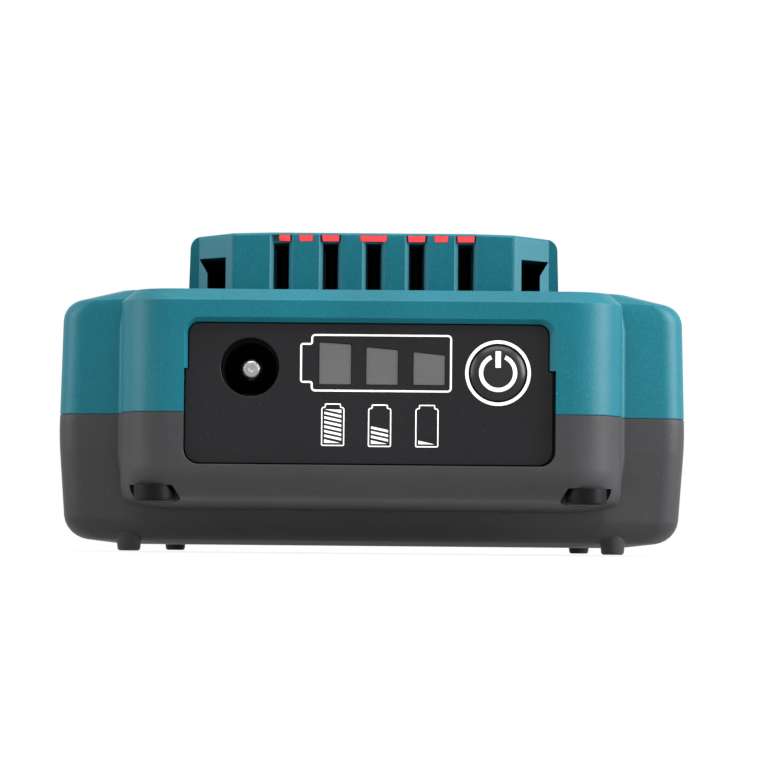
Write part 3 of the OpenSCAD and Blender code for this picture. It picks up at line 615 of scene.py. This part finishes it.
def wingRings(depth):
    s = shellShape
    foot, head = s["footZ"] + depth, deckZ - depth
    footIn, footUp = s["wingFootIn"]
    headIn, headDown = s["wingHeadIn"]
    half = [
        (halfWidth - s["wingFlat"], s["footZ"]), (halfWidth - footIn, s["footZ"] + footUp),
        (halfWidth, s["equatorZ"]),
        (halfWidth - headIn, deckZ - headDown), (halfWidth - s["wingFlat"], deckZ),
    ]
    loop = half + [(-x, z) for x, z in reversed(half)]
    radii = [max(radius - depth, s["leastRadius"]) for radius in s["wingRadii"] + s["wingRadii"][::-1]]
    outline = rounded(inset(loop, depth), radii, 6)

    def drawn(height, footEdge, headEdge):
        return drawnIn(height, foot, lessDepth(footEdge, depth), head, lessDepth(headEdge, depth))

    tip, tail, bend = lessDepth("wingFront", depth), lessDepth("wingRear", depth), s["wingBend"]
    insideNose, insideWing = s["wingInner"]
    rings = []
    for width, height in outline[:len(outline) // 2]:
        front = frontY + s["wingDepth"] + depth + drawn(height, "wingFootFront", "wingHeadFront")
        rear = rearY - depth - drawn(height, "wingFootRear", "wingHeadRear")
        inner = min(s["noseHalf"] - insideNose, width - insideWing)
        swept = front + s["wingSweep"]
        plan = rounded([
            (-width, swept), (-inner, front), (inner, front), (width, swept), (width, rear), (-width, rear),
        ], [tip, bend, bend, tip, tail, tail])
        rings.append([(x, y, height) for x, y in plan])
    return rings


def noseRings(depth):
    s = shellShape
    foot, top, back = s["footZ"] + s["noseSink"], s["noseTop"], frontY + s["noseBack"]
    run, drop = s["noseBevel"]
    chinRun = (s["chinZ"] - s["footZ"]) * math.tan(math.radians(s["chinLean"]))
    side = [
        (frontY + chinRun, foot), (back, foot), (back, top), (frontY + run, top), (frontY, top - drop),
        (frontY, s["chinZ"]),
    ]
    least = s["leastRadius"]
    radii = [max(radius - depth, least) for radius in (*s["noseRadii"], s["chinRound"])]
    turns, slopeSteps = 8, 6
    outline = rounded(inset(side, depth), radii, turns)
    foremost = min(y for y, _ in outline)
    arc = turns + 1  # points of one corner
    sole, bevel, chin = outline[:arc][::-1], outline[3 * arc:5 * arc][::-1], outline[5 * arc:][::-1]
    slope = [sole[-1].lerp(chin[0], share / slopeSteps) for share in range(1, slopeSteps)]
    underBevel = top - drop - depth - 1
    rings = []
    for y, height in sole + slope + chin + bevel:
        drawn = drawnIn(height, foot + depth, lessDepth("noseFoot", depth), top, 0.0)
        if height > underBevel:
            drawn = y - foremost
        width, corner = s["noseHalf"] - depth - drawn, lessDepth("noseCorner", depth)
        if height > s["chinZ"] + s["chinRound"]:
            corner = max(corner - drawn, least)
        plan = rounded(rectangle(-width, y, width, back - depth), [corner, corner, least, least])
        rings.append([(x, front, height) for x, front in plan])
    return rings


def packForm(name, depth):
    form = loftRings(name, wingRings(depth))
    addTo(form, loftRings("nose", noseRings(depth)))
    return form


# small hollow fillet where the nose meets a wing
def creaseFillet(side):
    s = shellShape
    root, turns = s["creaseRoot"], s["creaseTurns"]
    angles = [turn * math.pi / (2 * turns) for turn in range(turns + 1)]
    rings = []
    for height, share in s["creaseSteps"]:
        size = s["crease"] * share
        loop = [(-root, root), (-root, -size)]
        loop += [(size - size * math.cos(angle), -size + size * math.sin(angle)) for angle in angles]
        loop += [(size, root)]
        rings.append([(side * (s["noseHalf"] + x), frontY + s["wingDepth"] + y, height) for x, y in loop])
    return loftRings("crease", rings)


outerForm = packForm("outer_form", 0)
for side in (-1, 1):
    addTo(outerForm, creaseFillet(side))
core = packForm("core", shellShape["wall"] / 2)
cutFrom(outerForm, packForm("inner_form", shellShape["wall"]))
upperShell = copyOf(outerForm, "upper_shell")
lowerShell = outerForm
lowerShell.name = "lower_shell"
for shell, low, high in ((upperShell, seamZ, outside["high"]), (lowerShell, outside["low"], seamZ)):
    half = addBlock("half", (-outside["x"], -outside["y"], low), (outside["x"], outside["y"], high))
    combine(shell, half, "INTERSECT")


def onSeam(edge):
    middle = (edge.verts[0].co + edge.verts[1].co) / 2
    outward = Vector((middle.x, middle.y, 0)).normalized()
    side = max(edge.link_faces, key=lambda face: abs(face.normal.xy.length))
    return bothEnds(edge, lambda spot: abs(spot.z - seamZ) < onIt) and side.normal.dot(outward) > 0.1


for shell in (upperShell, lowerShell):
    roundEdges(shell, onSeam, shellShape["seamRound"], 2)
print("shells ready")

# slide block: swept front, rounded rails, five slots, two guide tunnels and the seat of the comb
blockShape = {
    "half": 22.55, "faceHalf": 17.0, "sweepHalf": 21.35, "front": frontY + 16, "length": 84.0, "root": 1.1,
    "crownHalf": 12.15, "crownDrop": 0.12, "crownIn": 0.4, "sideDrop": 0.25, "lean": 0.2,
    "railRound": 1.5, "cornerRound": 0.42, "rearRound": 0.8,
    "slotXs": (-11.15, -5.2, 0.0, 5.2, 11.15), "slotHalf": 0.97, "slotTop": blockTop - 1.1, "slotRoof": 0.18,
    "slotBevel": 0.42, "mouth": 2.4, "slotDraft": 0.18, "cavityHalf": 1.75, "cavity": 18.0,
    "tunnelInner": 17.9, "tunnelFoot": 20.25, "tunnelHead": 21.3, "tunnelHigh": 4.45, "tunnelSink": 0.5,
    "tunnelFlare": 1.8, "tunnelLength": 62.0,
    "combTop": blockTop - 0.28, "combLength": 20.0, "combBar": 3.0, "combHalf": 12.2, "combPlay": 0.02,
    "seatPlay": 0.1, "bevelEase": (0.9, 0.03, 0.05), "sweepFoot": 3, "cavityLap": 0.01,
    "hollowHalf": 15.2, "hollowFrom": 22, "hollowTo": 82.2, "hollowRoof": 1.8, "underDeck": 3.2,
}
# middle, half width at the head and slant of every finger
combFingers = [
    (-10.75, 0.68, 0.02), (-8.175, 0.89, 0.06), (-5.2, 1.08, 0.12), (0.0, 1.73, 0.2), (5.2, 1.08, 0.1),
    (8.175, 0.89, 0.06), (11.15, 1.06, 0.06),
]


# finger of the comb seen from the front, wider at its head
def fingerLoop(x, half, slant, play):
    gap = blockShape["combPlay"] - play
    low, high = blockShape["slotTop"] + gap, blockShape["combTop"] - gap
    foot, head = half - slant + play, half + play
    return [(x - foot, low), (x + foot, low), (x + head, high), (x - head, high)]


def buildBlock():
    b = blockShape
    deck, front, back = deckZ, b["front"], b["front"] + b["length"]
    shoulder = Vector((b["half"] - b["lean"], blockTop - b["sideDrop"]))
    crown = Vector((b["faceHalf"] - b["crownIn"], blockTop - b["crownDrop"]))
    profile = [(b["half"], deck - b["root"]), (b["half"], deck)]
    profile += cornerArc(Vector(profile[1]), shoulder, crown, b["railRound"], 8)
    profile += [crown, (b["crownHalf"], blockTop)]
    block = prismAlong("block", profile + [(-x, z) for x, z in reversed(profile)], front, back)
    run = b["sweepHalf"] - b["faceHalf"]
    loop = [
        (b["faceHalf"] - past, front - past), (b["half"] + past, front - past),
        (b["half"] + past, front + run), (b["sweepHalf"], front + run),
    ]
    for half in bothSides(loop):
        cutFrom(block, prismAlong("sweep", half, deck - b["sweepFoot"], blockTop + past, "Z"))
    aboveDeck = deck + 1  # what reaches higher isn't hidden in the deck

    def reachesUp(edge):
        return max(spot.co.z for spot in edge.verts) > aboveDeck

    def onFront(edge):
        middle = (edge.verts[0].co + edge.verts[1].co) / 2
        facing = min(face.normal.y for face in edge.link_faces) < -0.5
        return facing and reachesUp(edge) and abs(middle.x) < b["sweepHalf"] - onIt

    def onRear(edge):
        return max(face.normal.y for face in edge.link_faces) > 0.9 and reachesUp(edge)

    roundEdges(block, onFront, b["cornerRound"], 4, False)
    roundEdges(block, onRear, b["rearRound"], 4, False)
    wide, bevel, (share, easeIn, easeOut) = b["slotHalf"], b["slotBevel"], b["bevelEase"]
    flare = [
        (wide + bevel, front - past), (wide + bevel, front), (wide + bevel * share, front + easeIn),
        (wide + easeOut, front + bevel * share), (wide, front + bevel),
        (wide - b["slotDraft"], front + b["mouth"] + b["cavityLap"]),
    ]
    for x in b["slotXs"]:
        # the bevel runs on past the roof, up to the top of the comb
        for half, top in ((flare, b["slotTop"] - b["slotRoof"]), (flare[:-1], b["combTop"])):
            loop = [(x + out, y) for out, y in half] + [(x - out, y) for out, y in reversed(half)]
            cutFrom(block, prismAlong("slot", loop, deck, top, "Z"))
    combEnd = front + b["combLength"]
    for x, half, slant in combFingers:
        loop = fingerLoop(x, half, slant, b["combPlay"])
        cutFrom(block, prismAlong("finger_seat", loop, front - past, combEnd - b["combBar"] / 2))
    seatHalf = b["combHalf"] + b["seatPlay"]
    seat = addBlock(
        "bar_seat", (-seatHalf, combEnd - b["combBar"], b["slotTop"]), (seatHalf, combEnd, b["combTop"]))
    cutFrom(block, seat)
    low, high = deck - b["tunnelSink"], deck + b["tunnelHigh"]
    loop = [
        (b["tunnelInner"], low), (b["tunnelFoot"], low), (b["tunnelFoot"], high - b["tunnelFlare"]),
        (b["tunnelHead"], high), (b["tunnelInner"], high),
    ]
    for half in bothSides(loop):
        cutFrom(block, prismAlong("tunnel", half, front - past, front + b["tunnelLength"]))
    return block


addTo(upperShell, buildBlock())
print("block joined:", len(upperShell.data.polygons), "faces")

# lower shell: bosses for both shells, screw pockets and feet
screwSpots = [(-25.2, -56.2), (25.2, -56.2), (-30.0, 53.5), (30.0, 53.5)]
footSpots = [(x, y) for x in (-28.9, 28.9) for y in (frontY + 13, rearY - 21)]
lowerShape = {
    "bossRadius": 2.4, "bossFoot": -2, "bossTop": 1, "bossGap": 0.1, "pocketRadius": 3.0, "pocketWall": 1.2,
    "pocketFoot": -3, "pocketRoof": 7.7, "pocketCap": 1.4, "pilot": 1.3,
    "foot": [(1.05, 0.0), (1.25, 0.06), (1.36, 0.25), (1.62, 2.4)],
}


def buildBosses(low, high):
    f = lowerShape
    pocketWide, pocketHigh = f["pocketRadius"] + f["pocketWall"], f["pocketRoof"] + f["pocketCap"]
    rods = []
    for x, y in screwSpots:
        rods.append(addRod("boss", (x, y, 0), f["bossRadius"], low, high, "Z", 32))
        if low < 0:
            rods.append(addRod("pocket_boss", (x, y, 0), pocketWide, low, pocketHigh, "Z", 48))
    bosses = rods[0]
    for rod in rods[1:]:
        addTo(bosses, rod)
    combine(bosses, copyOf(core, "core_copy"), "INTERSECT")
    return bosses


def fitLower():
    f = lowerShape
    addTo(lowerShell, buildBosses(f["bossFoot"], seamZ - f["bossGap"]))
    addTo(upperShell, buildBosses(seamZ + f["bossGap"], deckZ - f["bossTop"]))
    holes = (("pocket", f["pocketRadius"], f["pocketRoof"], 64), ("pilot", f["pilot"], seamZ + past, 32))
    for x, y in screwSpots:
        for name, radius, roof, sides in holes:
            cutFrom(lowerShell, addRod(name, (x, y, 0), radius, f["pocketFoot"], roof, "Z", sides))
    for x, y in footSpots:
        addTo(lowerShell, turned("foot", (x, y), f["foot"], "Z", 40))


fitLower()
print("lower shell:", len(lowerShell.data.polygons), "faces")

# panel opening: upright below, with a sloped teal border above the step
panelShape = {
    "left": -21.76, "right": 21.5, "low": 10.15, "high": 27.3, "stepZ": 21.3, "corner": 1.8,
    "innerCorner": 1.3, "slopeHead": 0.56, "slopeLeft": 0.40, "slopeRight": 0.72, "slopePlay": (0.05, 0.02),
    "behind": 0.3, "faceY": bezelLow.y, "rimRound": 0.3, "footRound": 0.12,
}
faceY = panelShape["faceY"]


def openPanel(shell, isUpper):
    q = panelShape
    inner = frontY + shellShape["wall"] + q["behind"]
    left, right, head = q["left"] + q["slopeLeft"], q["right"] - q["slopeRight"], q["high"] - q["slopeHead"]
    square, soft, tight = [leastCorner] * 2, [q["corner"]] * 2, [q["innerCorner"]] * 2
    below = rounded(rectangle(q["left"], q["low"], q["right"], q["stepZ"]), soft + square)
    cutFrom(shell, prismAlong("opening", below, frontY - past, inner))
    if isUpper:
        above = rounded(rectangle(left, q["stepZ"] - past, right, head), square + tight)
        cutFrom(shell, prismAlong("opening", above, frontY - past, inner))
        outer = rounded(rectangle(q["left"], q["stepZ"] - past, q["right"], q["high"]), square + soft)
        ahead, beyond = q["slopePlay"]
        slope = loftRings("slope", [
            [(x, frontY - ahead, z) for x, z in outer], [(x, faceY + beyond, z) for x, z in above]])
        cutFrom(shell, slope)

    margin, near = 0.3, 0.03

    def onRim(spot):
        within = abs(spot.x) < q["right"] + 2 * margin and q["low"] - margin < spot.z < q["high"] + margin
        return within and abs(spot.y - frontY) < near and abs(spot.z - seamZ) > margin

    width = q["rimRound"] if isUpper else q["footRound"]
    roundEdges(shell, lambda edge: bothEnds(edge, onRim), width, 2)


openPanel(upperShell, True)
openPanel(lowerShell, False)

# rear opening of the latch, and the slots' cavities and hollow under the block's roof
latchDoor = {"half": 12.95, "play": 0.3, "top": 34}


def hollowRoom(name, low, high):
    cutFrom(upperShell, addBlock(name, low, high))


def hollowUpper():
    b, d = blockShape, latchDoor
    front, floor, roof = b["front"], deckZ - b["underDeck"], b["slotTop"] - b["slotRoof"]
    hollowRoom(
        "latch_opening", (-d["half"], latchLow.y - d["play"], seamZ - past),
        (d["half"], rearY + past, d["top"]))
    for x in b["slotXs"]:
        hollowRoom(
            "cavity", (x - b["cavityHalf"], front + b["mouth"], floor),
            (x + b["cavityHalf"], front + b["cavity"], roof))
    hollowRoom(
        "hollow", (-b["hollowHalf"], front + b["hollowFrom"], floor),
        (b["hollowHalf"], front + b["hollowTo"], blockTop - b["hollowRoof"]))


hollowUpper()
bpy.data.objects.remove(core)
finishPiece(upperShell, "pack", "teal_plastic", ("upper_housing",))
finishPiece(lowerShell, "pack", "grey_plastic", ("lower_housing",))
upperShell.name, lowerShell.name = "upper_housing_shell", "lower_housing_shell"

# bezel: stepped plate with a flange behind the wall, and holes for socket, windows and button
bezelShape = {
    "play": 0.12, "rightPlay": 0.32, "stepPlay": 0.1, "flange": (22.4, 9.4, 28.2), "wallY": frontY + 2.22,
    "backY": bezelLow.y + 2.58, "corner": 1.7, "headCorner": 1.2, "stepCorner": 0.1,
    "rimRound": 0.12, "rimSteps": ((1.0, 0.0), (0.4, 0.25), (0.0, 1.0)), "windowGap": 0.04,
    "jackHole": 3.42, "jackLift": 0.18, "jackRound": 0.2, "jackRelief": 4.4, "jackLip": 0.5,
    "jackNear": 0.1, "buttonHole": 3.43, "buttonShift": 0.13, "buttonDrop": 0.28,
}
jackZ = controlZ + bezelShape["jackLift"]
# the key sits a little lower than the socket
keyX, keyZ = buttonX - bezelShape["buttonShift"], controlZ - bezelShape["buttonDrop"]
windowLoops = [
    [(-6.1, 19.5), (-2.26, 19.5), (-2.26, 24.27), (-6.1, 24.5)],
    [(-0.62, 19.5), (3.18, 19.5), (3.18, 23.65), (-0.62, 23.99)],
    [(4.87, 19.5), (8.66, 19.5), (8.66, 23.07), (4.87, 23.46)],
]


def buildBezel():
    e, q = bezelShape, panelShape
    x0, x1 = q["left"] + e["play"], q["right"] - e["rightPlay"]
    low, head = q["low"] + e["play"], q["high"] - q["slopeHead"] - e["play"]
    step = q["stepZ"] - e["stepPlay"]
    left, right = x0 + q["slopeLeft"], q["right"] - q["slopeRight"] - e["play"]
    loop = [
        (x0, low), (x1, low), (x1, step), (right, step), (right, head), (left, head), (left, step),
        (x0, step),
    ]
    atStep = [e["stepCorner"]] * 2
    radii = [e["corner"]] * 2 + atStep + [e["headCorner"]] * 2 + atStep
    rings = []
    for depth, level in e["rimSteps"]:
        ring = insetRounded(loop, radii, depth * e["rimRound"], 6)
        rings.append([(x, faceY + level * e["rimRound"], z) for x, z in ring])
    rings.append([(x, e["backY"], z) for x, _, z in rings[-1]])
    plate = loftRings("front_bezel_plate", rings)
    wide, bottom, top = e["flange"]
    border = rounded(rectangle(-wide, bottom, wide, top), [e["corner"]] * 4, 6)
    addTo(plate, prismAlong("flange", border, e["wallY"], e["backY"]))
    bores = (
        (jackX, jackZ, e["jackHole"], faceY - past), (jackX, jackZ, e["jackRelief"], faceY + e["jackLip"]),
        (keyX, keyZ, e["buttonHole"], faceY - past))
    for x, z, radius, start in bores:
        cutFrom(plate, addRod("bore", (x, 0, z), radius, start, e["backY"] + past, "Y", 80))
    for window in windowLoops:
        cutFrom(plate, prismAlong("hole", window, faceY - past, e["backY"] + past))

    def onJackRim(spot):
        away = math.hypot(spot.x - jackX, spot.z - jackZ)
        return abs(spot.y - faceY) < onIt and away < e["jackHole"] + e["jackNear"]

    roundEdges(plate, lambda edge: bothEnds(edge, onJackRim), e["jackRound"], 3)
    return plate


finishPiece(buildBezel(), "pack", "panel_plastic", ("front_bezel",))


# charge windows on one carrier
guideShape = {
    "sink": 0.08, "rim": 0.07, "plate": (-6.7, 18.9, 9.2, 25.0), "plateThick": 0.8,
    "plateGap": 0.01, "root": 0.3,
}


def buildGuide():
    g, backY = guideShape, bezelShape["backY"]
    front = faceY + g["sink"]
    x0, z0, x1, z1 = g["plate"]
    guide = addBlock(
        "light_guide_windows", (x0, backY + g["plateGap"], z0), (x1, backY + g["plateThick"], z1))
    for window in windowLoops:
        pane = prismAlong("pane", inset(window, bezelShape["windowGap"]), front, backY + g["root"])
        roundEdges(pane, onFrontAt(front), g["rim"], 2)
        addTo(guide, pane)
    return guide


finishPiece(buildGuide(), "pack", "window_plastic", ("light_guide",))


# power key with a flat middle and a rounded rim: every ring's radius and depth behind the panel's face
keyShape = {
    "stem": [(1.2, 4.0), (1.2, 3.36), (4.05, 3.36), (4.05, 2.68), (3.38, 2.68), (3.38, 0.4)],
    "dome": [
        (3.36, 0.2), (3.2, 0.02), (3.0, -0.12), (2.8, -0.24), (2.6, -0.34), (2.42, -0.4), (2.2, -0.43),
        (1.7, -0.44), (0.05, -0.44),
    ],
    "skin": 0.03, "ringOuter": 3.82, "ringInner": 3.435, "ringEdge": 0.08, "sides": 96,
}
keySteps = [(radius, faceY + depth) for radius, depth in keyShape["stem"] + keyShape["dome"]]
keyPiece = turned("power_button_key", (keyX, keyZ), keySteps, "Y", keyShape["sides"])
finishPiece(keyPiece, "button", "button_plastic", ("power_button",), 50)


# socket pin with a dimple in its domed end: every ring's radius, and its depth from the tip or the tail
pinShape = {
    "dome": [
        (0.04, 0.16), (0.2, 0.12), (0.34, 0.03), (0.44, 0.0), (0.65, 0.04), (0.88, 0.14), (1.04, 0.26),
        (1.15, 0.42), (1.22, 0.64), (1.25, 0.95), (1.25, 1.4),
    ],
    "tail": [(1.25, 2.3), (0.8, 2.3), (0.8, 0.0)], "shift": 0.12,
}
pinSteps = [(radius, pinLow.y + depth) for radius, depth in pinShape["dome"]]
pinSteps += [(radius, pinHigh.y - before) for radius, before in pinShape["tail"]]
pinPiece = turned("dc_jack_centre_pin", (jackX + pinShape["shift"], controlZ), pinSteps, "Y", 72)
finishPiece(pinPiece, "pack", "bright_steel", ("dc_jack_pin",), 40)


# prints: charge outline, three charge pictures, ring round the key, power symbol
printShape = {"proud": 0.022, "sunk": 0.05, "ringProud": (0.015, 0.04)}


def printPrism(loop):
    return prismAlong("print", loop, faceY - printShape["proud"], faceY + printShape["sunk"])


def printStroke(loop, radii, width):
    stroke = printPrism(rounded(loop, radii, 5))
    inner = insetRounded(loop, radii, width, 5)
    cutFrom(stroke, prismAlong("middle", inner, faceY - past, faceY + past))
    return stroke


chargeOutline = {
    "loop": [
        (-7.0, 18.7), (9.4, 18.7), (9.4, 25.4), (-7.0, 25.4),
        (-7.0, 24.35), (-8.26, 24.35), (-8.26, 19.7), (-7.0, 19.7),
    ],
    "radii": [0.5, 0.5, 0.5, 0.5, 0.1, 0.35, 0.35, 0.1], "stroke": 0.22,
}
chargePictures = [
    {"left": -5.75, "foot": 12.37, "rows": 8},
    {"left": -0.3, "foot": 12.3, "rows": 4},
    {"left": 5.2, "foot": 12.3, "rows": 1},
]
pictureShape = {
    "wide": 2.7, "high": 4.55, "neckHalf": 0.95, "neckHigh": 0.4, "stroke": 0.14, "pad": 0.36,
    "pitch": 0.53, "bar": 0.28, "drop": 0.42, "barEase": (0.1, 0.02), "topRow": 7,
    "radii": (0.2, 0.2, 0.3, 0.06, 0.15, 0.15, 0.06, 0.3),
}


def chargePicture(spot):
    c = pictureShape
    left, foot = spot["left"], spot["foot"]
    right, top = left + c["wide"], foot + c["high"]
    middle = (left + right) / 2
    neckLeft, neckRight, neckTop = middle - c["neckHalf"], middle + c["neckHalf"], top + c["neckHigh"]
    loop = [
        (left, foot), (right, foot), (right, top), (neckRight, top), (neckRight, neckTop),
        (neckLeft, neckTop), (neckLeft, top), (left, top),
    ]
    marks = [printStroke(loop, c["radii"], c["stroke"])]
    x0, x1, base = left + c["pad"], right - c["pad"], foot + c["pad"]
    shorter, higher = c["barEase"]
    for row in range(spot["rows"]):
        low = base + row * c["pitch"] - (c["pitch"] - c["bar"])
        if row == 0:
            bar = [(x0, base), (x1 - shorter, base), (x0, base + c["drop"])]
        elif row == c["topRow"]:
            bar = [(x0, low + c["drop"] + higher), (x1, low), (x1, low + c["drop"])]
        else:
            bar = [(x0, low + c["drop"]), (x1, low), (x1, low + c["bar"]), (x0, low + c["drop"] + c["bar"])]
        marks.append(printPrism(bar))
    return marks


def panelPrint():
    marks = [printStroke(chargeOutline["loop"], chargeOutline["radii"], chargeOutline["stroke"])]
    for spot in chargePictures:
        marks += chargePicture(spot)
    k = keyShape
    outer, (edge, crest) = k["ringOuter"], printShape["ringProud"]
    steps = [
        (outer, faceY + printShape["sunk"]), (outer, faceY - edge), (outer - k["ringEdge"], faceY - crest)]
    ring = turned("ring", (keyX, keyZ), steps, "Y", k["sides"])
    middle = addRod("middle", (keyX, 0, keyZ), k["ringInner"], faceY - past, faceY + past, "Y", k["sides"])
    cutFrom(ring, middle)
    return joinPieces("panel_print", marks + [ring])


finishPiece(panelPrint(), "pack", "panel_plastic", (), 40, finish="print_ink")

powerSymbol = {
    "outer": 2.22, "inner": 1.74, "gap": 24, "steps": 60, "barHalf": 0.31, "barFrom": 0.6, "barTo": 2.52,
    "depths": (-0.5, 0.6),
}


def keyPrint():
    w = powerSymbol
    steps, dome = w["steps"], keyShape["dome"]
    angles = [math.radians(90 + w["gap"] + (360 - 2 * w["gap"]) * step / steps) for step in range(steps + 1)]
    arc = circle((keyX, keyZ), w["outer"], angles) + circle((keyX, keyZ), w["inner"], reversed(angles))
    bar = rectangle(keyX - w["barHalf"], keyZ + w["barFrom"], keyX + w["barHalf"], keyZ + w["barTo"])
    skin = [(radius, faceY + depth - keyShape["skin"]) for radius, depth in reversed(dome)]
    skin += [(radius, faceY + depth + printShape["sunk"]) for radius, depth in dome]
    ahead, behind = w["depths"]
    marks = []
    for loop in (arc, bar):
        mark = prismAlong("mark", loop, faceY + ahead, faceY + behind)
        combine(mark, turned("skin", (keyX, keyZ), skin, "Y", keyShape["sides"]), "INTERSECT")
        marks.append(mark)
    return joinPieces("button_print", marks)


finishPiece(keyPrint(), "button", "button_plastic", (), 40, finish="print_ink")
print("panel ready")


# red comb under the block's roof: a finger end above every slot, two between them, and a cross bar
combShape = {"sink": 0.03, "above": 0.06, "below": 0.08, "play": 0.1, "overlap": 1, "edge": 0.07}


def buildComb():
    b, c = blockShape, combShape
    front, half = b["front"] + c["sink"], b["combHalf"]
    low, high, end = b["slotTop"] + c["above"], b["combTop"] - c["below"], front + b["combLength"]
    bar = addBlock("terminal_guard_comb", (-half, end - b["combBar"], low), (half, end - c["play"], high))
    for finger in combFingers:
        prong = prismAlong("finger", fingerLoop(*finger, 0), front, end - c["overlap"])
        roundEdges(prong, onFrontAt(front), c["edge"], 2)
        addTo(bar, prong)
    return bar


finishPiece(buildComb(), "pack", "red_plastic", ("terminal_guard",))


# housing screws, heads down in their pockets
screwShape = {
    "profile": [
        (1.9, 5.72), (2.2, 5.8), (2.36, 5.98), (2.4, 6.25), (2.4, 7.68), (1.25, 7.68), (1.25, 20.9),
        (0.5, 21.65),
    ],
    "recess": 1.25, "recessFrom": 5, "recessTo": 6.9,
}


def buildScrews():
    v = screwShape
    made = []
    for x, y in screwSpots:
        screw = turned("screw", (x, y), v["profile"], "Z", 48)
        cutFrom(screw, addRod("recess", (x, y, 0), v["recess"], v["recessFrom"], v["recessTo"], "Z", 6))
        made.append(screw)
    return joinPieces("housing_screw_set", made)


finishPiece(buildScrews(), "pack", "black_steel", ("housing_screws",))

# release latch: body with ears, hook above the deck and ribbed thumb pad
latchShape = {
    "half": 12.7, "front": latchLow.y, "back": latchLow.y + 5.7, "low": latchLow.z,
    "top": deckZ - 0.3, "edge": 0.3, "root": 1,
    "earHalf": latchHigh.x, "earHigh": 2.0, "earPlay": 0.04, "hookTop": latchHigh.z,
    "hookHalf": 9.0, "hookThick": 3.4, "hookCrest": 2.6, "hookDrop": 0.3, "hookRise": 0.8,
    "padHalf": 11.7, "padY": latchHigh.y, "padFoot": seamZ + 6.2, "padTop": 1.2, "padSlope": (1.44, 0.6),
    "padBevel": (0.6, 1), "grooves": 3, "groove": 0.45, "grooveFrom": 1.6, "groovePitch": 1.5,
    "grooveHigh": 0.7, "grooveIn": 2, "springX": 7.5, "springHole": 3.2, "springDeep": 4.0,
}


def buildLatch():
    t = latchShape
    front, back, low, top, play = t["front"], t["back"], t["low"], t["top"], t["earPlay"]
    body = addBlock("release_latch_key", (-t["half"], front, low), (t["half"], back, top))
    ears = addBlock(
        "ears", (-t["earHalf"], front + play, low + play), (t["earHalf"], back - play, low + t["earHigh"]))
    behind = front + t["hookThick"]
    hookLoop = [
        (front, top - t["root"]), (behind, top - t["root"]), (behind, t["hookTop"] - t["hookDrop"]),
        (front + t["hookCrest"], t["hookTop"]), (front, top + t["hookRise"]),
    ]
    hook = prismAlong("hook", hookLoop, -t["hookHalf"], t["hookHalf"], "X")
    padTop, padRoot = top - t["padTop"], back - t["root"]
    slopeDown, slopeUp = t["padSlope"]
    bevelIn, bevelDown = t["padBevel"]
    padLoop = [
        (padRoot, t["padFoot"] - slopeDown), (t["padY"], t["padFoot"] + slopeUp),
        (t["padY"], padTop - bevelDown), (t["padY"] - bevelIn, padTop), (padRoot, padTop),
    ]
    pad = prismAlong("pad", padLoop, -t["padHalf"], t["padHalf"], "X")
    for part in (body, hook, pad):
        roundEdges(part, lambda edge: True, t["edge"], 3)
        applyModifier(part, "TRIANGULATE")  # keeps the joints of the rounded parts closed
    for part in (ears, hook, pad):
        addTo(body, part)
    grooveHalf = t["padHalf"] - t["grooveIn"]
    for row in range(t["grooves"]):
        height = t["padFoot"] + t["grooveFrom"] + row * t["groovePitch"]
        groove = addBlock(
            "groove", (-grooveHalf, t["padY"] - t["groove"], height),
            (grooveHalf, t["padY"] + past, height + t["grooveHigh"]))
        cutFrom(body, groove)
    for side in (-1, 1):
        spot = (side * t["springX"], (front + back) / 2, 0)
        hole = addRod("spring_hole", spot, t["springHole"], low - past, low + t["springDeep"], "Z", 40)
        cutFrom(body, hole)
    return body


finishPiece(buildLatch(), "latch", "latch_plastic", ("release_latch",))

# latch springs: round wire wound up with the screw modifier, to fill each spring's box from the frame
springShape = {"wire": 0.6, "curls": 6, "sides": 10, "stepsPerCurl": 28}


def buildSpring(name, low, high):
    s = springShape
    clearPick()
    bpy.ops.mesh.primitive_circle_add(
        vertices=s["sides"], radius=s["wire"] / 2, rotation=(math.pi / 2, 0, 0),
        location=((high.x - low.x - s["wire"]) / 2, 0, s["wire"] / 2))
    wire = justAdded(name)
    applyModifier(
        wire, "SCREW", axis="Z", angle=2 * math.pi, iterations=s["curls"], steps=s["stepsPerCurl"],
        render_steps=s["stepsPerCurl"], screw_offset=(high.z - low.z - s["wire"]) / s["curls"])
    editEdges(wire)
    bpy.ops.mesh.select_all(action="SELECT")
    bpy.ops.mesh.fill_holes(sides=0)  # the two cut ends of the wire
    leaveEdit()
    wire.location = ((low.x + high.x) / 2, (low.y + high.y) / 2, low.z)
    settle()
    return wire


for node in ("latch_spring_left", "latch_spring_right"):
    springLow, springHigh = boxOf(node)
    spring = buildSpring(node + "_coil", springLow, springHigh)
    finishPiece(spring, "pack", slotOf[node], (node,))
    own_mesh(spring)
print("comb, screws, latch and springs ready")
